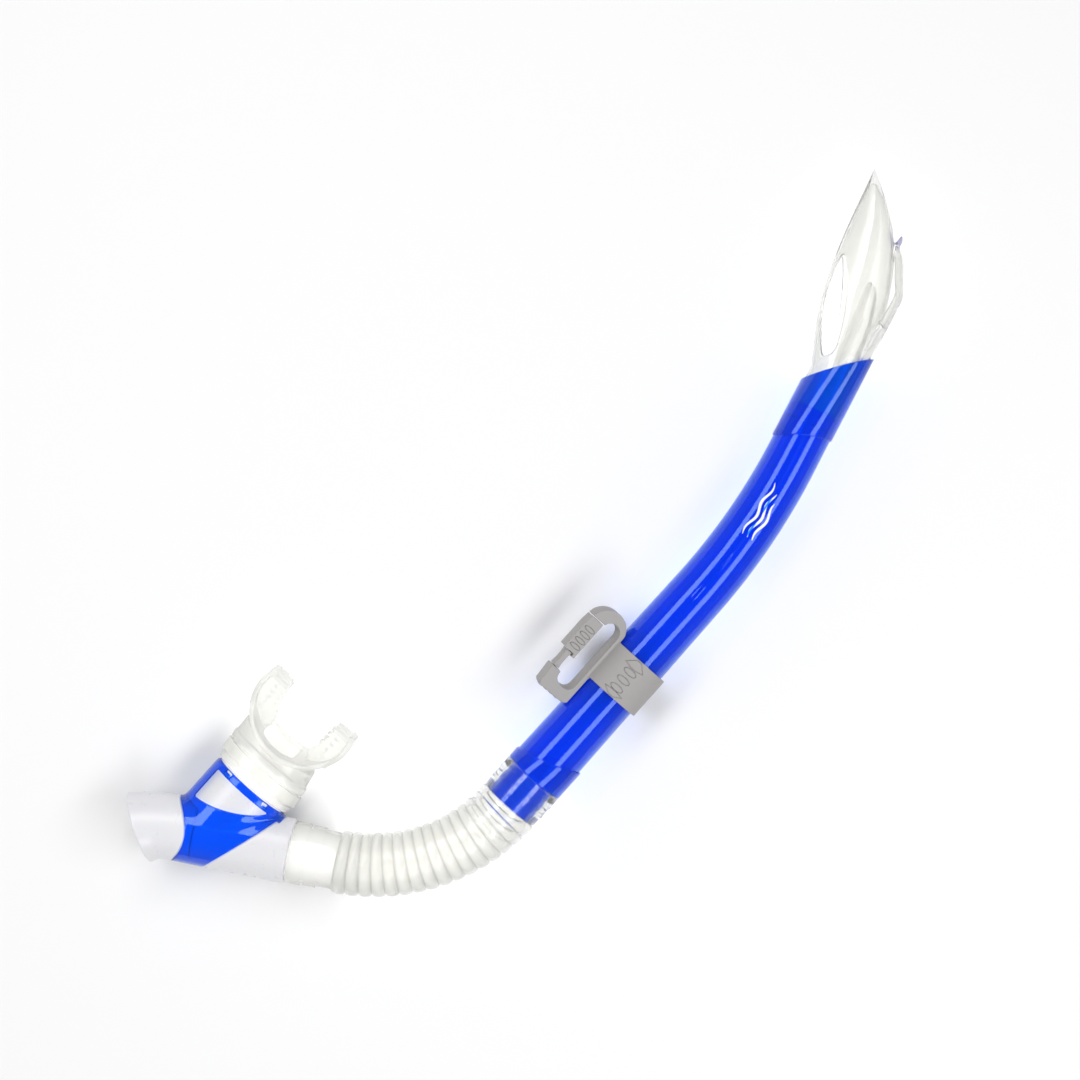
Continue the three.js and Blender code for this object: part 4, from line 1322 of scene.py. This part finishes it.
def clip_round(stations):
    """A round solid on the tube's axis through stations of place and radius."""
    return loft("round", Route(0, 0, 0, [(100, 0)]), [{"s": s, "a": a} for s, a in stations])


def clip_body(material):
    loop = slab("loop", loop_outline(), 4.7, CLIP_PLACE)
    minus(loop, slab("slot", slot_outline(), 6, CLIP_PLACE))
    start, tight, radius = BAND["start"], BAND["bore"], BAND["radius"]
    band = clip_round([(start, radius), (BAND["end"], radius)])
    bore = clip_round([(-40, tight + 0.3), (-12, tight + 0.3), (start, tight), (40, tight)])
    body = softened(minus(union(loop, band), bore), 0.3, 3)
    under = clip_round([(-40, radius - 0.4), (40, radius - 0.4)])
    return minus(body, minus(band_marks(material, 0.4), under))


def clip_marks(material):
    """Raised grips: pills and arrowheads on the band, and teeth on the loop's end."""
    top = BAND["radius"] + 0.3
    marks = combined(band_marks(material, 0), clip_round([(-40, top), (40, top)]), "INTERSECT")
    start, step, half_size = (-26.3, 17.6, 0), (0, 2.9, 0), (0.55, 1.05, 4.1)
    teeth = bump_row("teeth", 4, start, step, half_size, material, CLIP_PLACE)
    return joined("clip_marks", [marks, teeth])


def gate_pills(material, face, grow, depth):
    """Pills across one face of the gate, cut off depth beyond it."""
    start = (-4.4, 27, face * GATE["half_depth"])
    half_size = (0.75 + grow, 2.5 + grow, 2)
    pills = bump_row("pills", 4, start, (3.1, 0, 0), half_size, material, CLIP_PLACE)
    near, far = sorted(face * (GATE["half_depth"] + by) for by in (-0.4, depth))
    sheet = block("slice", (-12, 20, near), (14, 34, far), CLIP_PLACE)
    return combined(pills, sheet, "INTERSECT")


def clip_gate(material):
    left, right, low, high = (GATE[key] for key in ("left", "right", "low", "high"))
    outline = [(left, low + 1.4), (left - 1.6, low + 1.2), (left - 1.6, low), (right, low)]
    outline += [(right, high - 0.4), (right - 4, high), (left, high)]
    gate = softened(slab("gate", outline, GATE["half_depth"], CLIP_PLACE), 0.2, 4)
    for face in (1, -1):
        minus(gate, gate_pills(material, face, 0.35, 1))
        union(gate, gate_pills(material, face, 0, 0.3))
    return gate


def gate_web():
    rows = []
    for x in np.linspace(WEB["left"], GATE["left"] - GAP, 17):
        thin = 0.35 * math.sin(math.pi * (x - WEB["left"]) / (GATE["left"] - GAP - WEB["left"]))
        low, high, z = WEB["low"] + thin, WEB["high"] - thin, WEB["half_depth"]
        rows.append(np.array([(x, low, -z), (x, high, -z), (x, high, z), (x, low, z)]))
    return skin("gate_web", rows, place=CLIP_PLACE)


# ---- Stage ---------------------------------------------------------------------------
def make_camera(scene):
    """A camera straight above, turned so that the tube climbs to the right."""
    data = bpy.data.cameras.new("camera")
    data.lens = data.sensor_width * CAMERA["height"] / CAMERA["width"]
    data.clip_start, data.clip_end = 0.01, 20
    camera = new_object("camera", data)
    cx, cy = CAMERA["right"]
    turn = Matrix(((cx, -cy, 0), (cy, cx, 0), (0, 0, 1))).to_4x4()
    aim = Vector(CAMERA["aim"])
    aim.z = CAMERA["height"]
    camera.matrix_world = Matrix.Translation(TO_SCENE @ aim) @ turn
    scene.camera = camera


def make_light(name, side):
    """A long soft light beside the tube, side degrees from straight above."""
    data = bpy.data.lights.new(name, "AREA")
    data.shape = "RECTANGLE"
    data.size, data.size_y = LIGHT["length"], LIGHT["width"]
    data.energy = LIGHT["power"]
    light = new_object(name, data)
    tilt = Matrix.Rotation(math.radians(-side), 4, "X")
    light.matrix_world = tilt @ Matrix.Translation((0, 0, LIGHT["distance"]))


def make_world(scene):
    """A dim studio, lighter at its horizon than above."""
    world = bpy.data.worlds.new("studio")
    scene.world = world
    world.use_nodes = True
    tree = world.node_tree
    places = tree.nodes.new("ShaderNodeTexCoord").outputs["Generated"]
    height = tree.nodes.new("ShaderNodeSeparateXYZ")
    tree.links.new(places, height.inputs["Vector"])
    fade = tree.nodes.new("ShaderNodeMapRange")
    fade.inputs["From Min"].default_value = 0.35
    fade.inputs["From Max"].default_value = 0.9
    tree.links.new(height.outputs["Z"], fade.inputs["Value"])
    sky = two_tone(tree, fade.outputs["Result"], (0.36, 0.36, 0.37), (0.13, 0.13, 0.135))
    tree.links.new(sky, tree.nodes["Background"].inputs["Color"])


def make_stage(context):
    make_camera(context.scene)
    make_light("light_far", 31)
    make_light("light_near", -36)
    make_world(context.scene)
    context.scene.view_settings.view_transform = "Standard"
    half = 3
    corners = [(-half, -half, 0), (half, -half, 0), (half, half, 0), (-half, half, 0)]
    floor = bpy.data.meshes.new("floor")
    floor.from_pydata(corners, [], [(0, 1, 2, 3)])
    floor.materials.append(material_for(context, "floor_paint"))
    new_object("floor", floor)


# ---- Operators -----------------------------------------------------------------------
class MakeTube(bpy.types.Operator):
    """Make the blue breathing tube with its clip stop and its printed waves"""

    bl_idname = "snorkel.make_tube"
    bl_label = "Breathing Tube"

    def execute(self, context):
        sizes = Measures(context.scene.snorkel_sizes)
        blue = material_for(context, "blue_plastic")
        finished(main_tube(sizes), "breathing_tube", blue, "tube", ["main_tube"])
        ink = material_for(context, "white_ink")
        finished(wave_print(sizes), "wave_print", ink, "tube", [])
        return {"FINISHED"}


class MakeCollar(bpy.types.Operator):
    """Make the oblique collar that holds the guard on the tube"""

    bl_idname = "snorkel.make_collar"
    bl_label = "Top Collar"

    def execute(self, context):
        blue = material_for(context, "blue_plastic")
        collar = top_collar(Measures(context.scene.snorkel_sizes))
        finished(collar, "oblique_collar", blue, "tube", ["top_collar"])
        return {"FINISHED"}


class MakeGuard(bpy.types.Operator):
    """Make the leaf-shaped splash guard and the deflector inside it"""

    bl_idname = "snorkel.make_guard"
    bl_label = "Splash Guard"

    def execute(self, context):
        sizes = Measures(context.scene.snorkel_sizes)
        clear = material_for(context, "clear_plastic")
        guard = splash_guard(sizes)
        finished(guard, "leaf_guard", clear, "tube", ["splash_hood"], 60)
        tongue = scoop(sizes, "deflector", DEFLECTOR, 1.2)
        finished(tongue, "deflector_tongue", clear, "tube", ["splash_deflector"])
        return {"FINISHED"}


class MakeCoupling(bpy.types.Operator):
    """Make the sleeve and spigot between the tube and the hose"""

    bl_idname = "snorkel.make_coupling"
    bl_label = "Lower Coupling"

    def execute(self, context):
        blue = material_for(context, "blue_plastic")
        finished(lower_coupling(), "hose_coupling", blue, "tube", ["lower_coupling"])
        return {"FINISHED"}


class MakeHose(bpy.types.Operator):
    """Make the corrugated silicone hose, which bends between the tube and the chamber"""

    bl_idname = "snorkel.make_hose"
    bl_label = "Corrugated Hose"

    def execute(self, context):
        material = material_for(context, "hose_silicone")
        hose = corrugated_hose(Measures(context.scene.snorkel_sizes), material)
        finished(hose, "ribbed_hose", material, None, ["corrugated_hose"], 70)
        start = Vector((*HOSE_ROUTE.at(RIBS_START)[:2], 0))
        end = Vector((*HOSE_ROUTE.at(RIBS_END)[:2], 0))
        inset = (end - start) * 0.09
        start, end = TO_SCENE @ (start + inset), TO_SCENE @ (end - inset)
        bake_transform(hose, "tube", "hose", start=start, end=end)
        return {"FINISHED"}


class MakeChamber(bpy.types.Operator):
    """Make the white chamber with its exhaust bell"""

    bl_idname = "snorkel.make_chamber"
    bl_label = "Purge Chamber"

    def execute(self, context):
        white = material_for(context, "white_plastic")
        body = chamber_body()
        finished(body, "white_chamber", white, "mouth_unit", ["chamber_body"], 60)
        bell = exhaust_bell()
        finished(bell, "flared_bell", white, "mouth_unit", ["exhaust_bell"], 60)
        return {"FINISHED"}


class MakeFrame(bpy.types.Operator):
    """Make the blue frame that wraps the chamber, and the lugs that hold it"""

    bl_idname = "snorkel.make_frame"
    bl_label = "Blue Frame"

    def execute(self, context):
        blue = material_for(context, "blue_plastic")
        sizes = Measures(context.scene.snorkel_sizes)
        wrap = blue_frame(sizes)
        finished(wrap, "chamber_frame", blue, "mouth_unit", ["shroud_frame"], 60)
        white = material_for(context, "white_plastic")
        lugs = snap_lugs(sizes)
        finished(lugs, "snap_lugs", white, "mouth_unit", [], 60)
        return {"FINISHED"}


class MakeValve(bpy.types.Operator):
    """Make the purge valve's seat and its diaphragm"""

    bl_idname = "snorkel.make_valve"
    bl_label = "Purge Valve"

    def execute(self, context):
        white = material_for(context, "white_plastic")
        silicone = material_for(context, "silicone")
        seat = valve_seat()
        finished(seat, "spoked_seat", white, "mouth_unit", ["valve_seat"], 60)
        disc = purge_diaphragm()
        finished(disc, "purge_disc", silicone, "diaphragm", ["purge_diaphragm"])
        return {"FINISHED"}


class MakeMouthpiece(bpy.types.Operator):
    """Make the silicone mouthpiece and the band that clamps it"""

    bl_idname = "snorkel.make_mouthpiece"
    bl_label = "Mouthpiece"

    def execute(self, context):
        silicone = material_for(context, "silicone")
        piece = mouthpiece(Measures(context.scene.snorkel_sizes), silicone)
        finished(piece, "soft_mouthpiece", silicone, "mouth_unit", ["mouthpiece"], 70)
        band = mouthpiece_clamp()
        finished(band, "neck_band", silicone, "mouth_unit", ["mouthpiece_clamp"], 50)
        return {"FINISHED"}


class MakeClip(bpy.types.Operator):
    """Make the grey mask-strap clip, its grips and its springy gate"""

    bl_idname = "snorkel.make_clip"
    bl_label = "Strap Clip"

    def execute(self, context):
        grey = material_for(context, "clip_plastic")
        finished(clip_body(grey), "strap_clip", grey, "clip", ["clip_body"], 60)
        finished(clip_marks(grey), "clip_marks", grey, "clip", [], 50)
        finished(clip_gate(grey), "spring_gate", grey, "gate", ["clip_gate"], 60)
        web = finished(gate_web(), "thin_web", grey, None, ["gate_web"])
        middle = (WEB["low"] + WEB["high"]) / 2
        start = TO_SCENE @ CLIP_PLACE @ Vector((WEB["left"] + 0.5, middle, 0))
        end = TO_SCENE @ CLIP_PLACE @ Vector((GATE["left"] - 1, middle, 0))
        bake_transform(web, "clip", "gate", start=start, end=end)
        return {"FINISHED"}


class MakeStage(bpy.types.Operator):
    """Make the floor, the lights and the camera"""

    bl_idname = "snorkel.make_stage"
    bl_label = "Stage"

    def execute(self, context):
        make_stage(context)
        return {"FINISHED"}


class SnorkelPanel(bpy.types.Panel):
    """Lists the snorkel's pieces, sizes and colours"""

    bl_idname = "VIEW3D_PT_snorkel"
    bl_label = "Snorkel"
    bl_space_type = "VIEW_3D"
    bl_region_type = "UI"
    bl_category = "Snorkel"

    def draw(self, context):
        for operator in OPERATORS:
            self.layout.operator(operator.bl_idname)
        for group in (context.scene.snorkel_sizes, context.scene.snorkel_colours):
            for name in group.__annotations__:
                self.layout.prop(group, name)


OPERATORS = [
    MakeStage,
    MakeTube,
    MakeCollar,
    MakeGuard,
    MakeCoupling,
    MakeHose,
    MakeChamber,
    MakeFrame,
    MakeValve,
    MakeMouthpiece,
    MakeClip,
]
CLASSES = [SnorkelSizes, SnorkelColours, *OPERATORS, SnorkelPanel]


def register():
    for cls in CLASSES:
        bpy.utils.register_class(cls)
    bpy.types.Scene.snorkel_sizes = bpy.props.PointerProperty(type=SnorkelSizes)
    bpy.types.Scene.snorkel_colours = bpy.props.PointerProperty(type=SnorkelColours)


def unregister():
    del bpy.types.Scene.snorkel_sizes
    del bpy.types.Scene.snorkel_colours
    for cls in reversed(CLASSES):
        bpy.utils.unregister_class(cls)


def main():
    register()
    for operator in OPERATORS:
        group, name = operator.bl_idname.split(".")
        getattr(getattr(bpy.ops, group), name)()


if __name__ == "__main__":
    main()
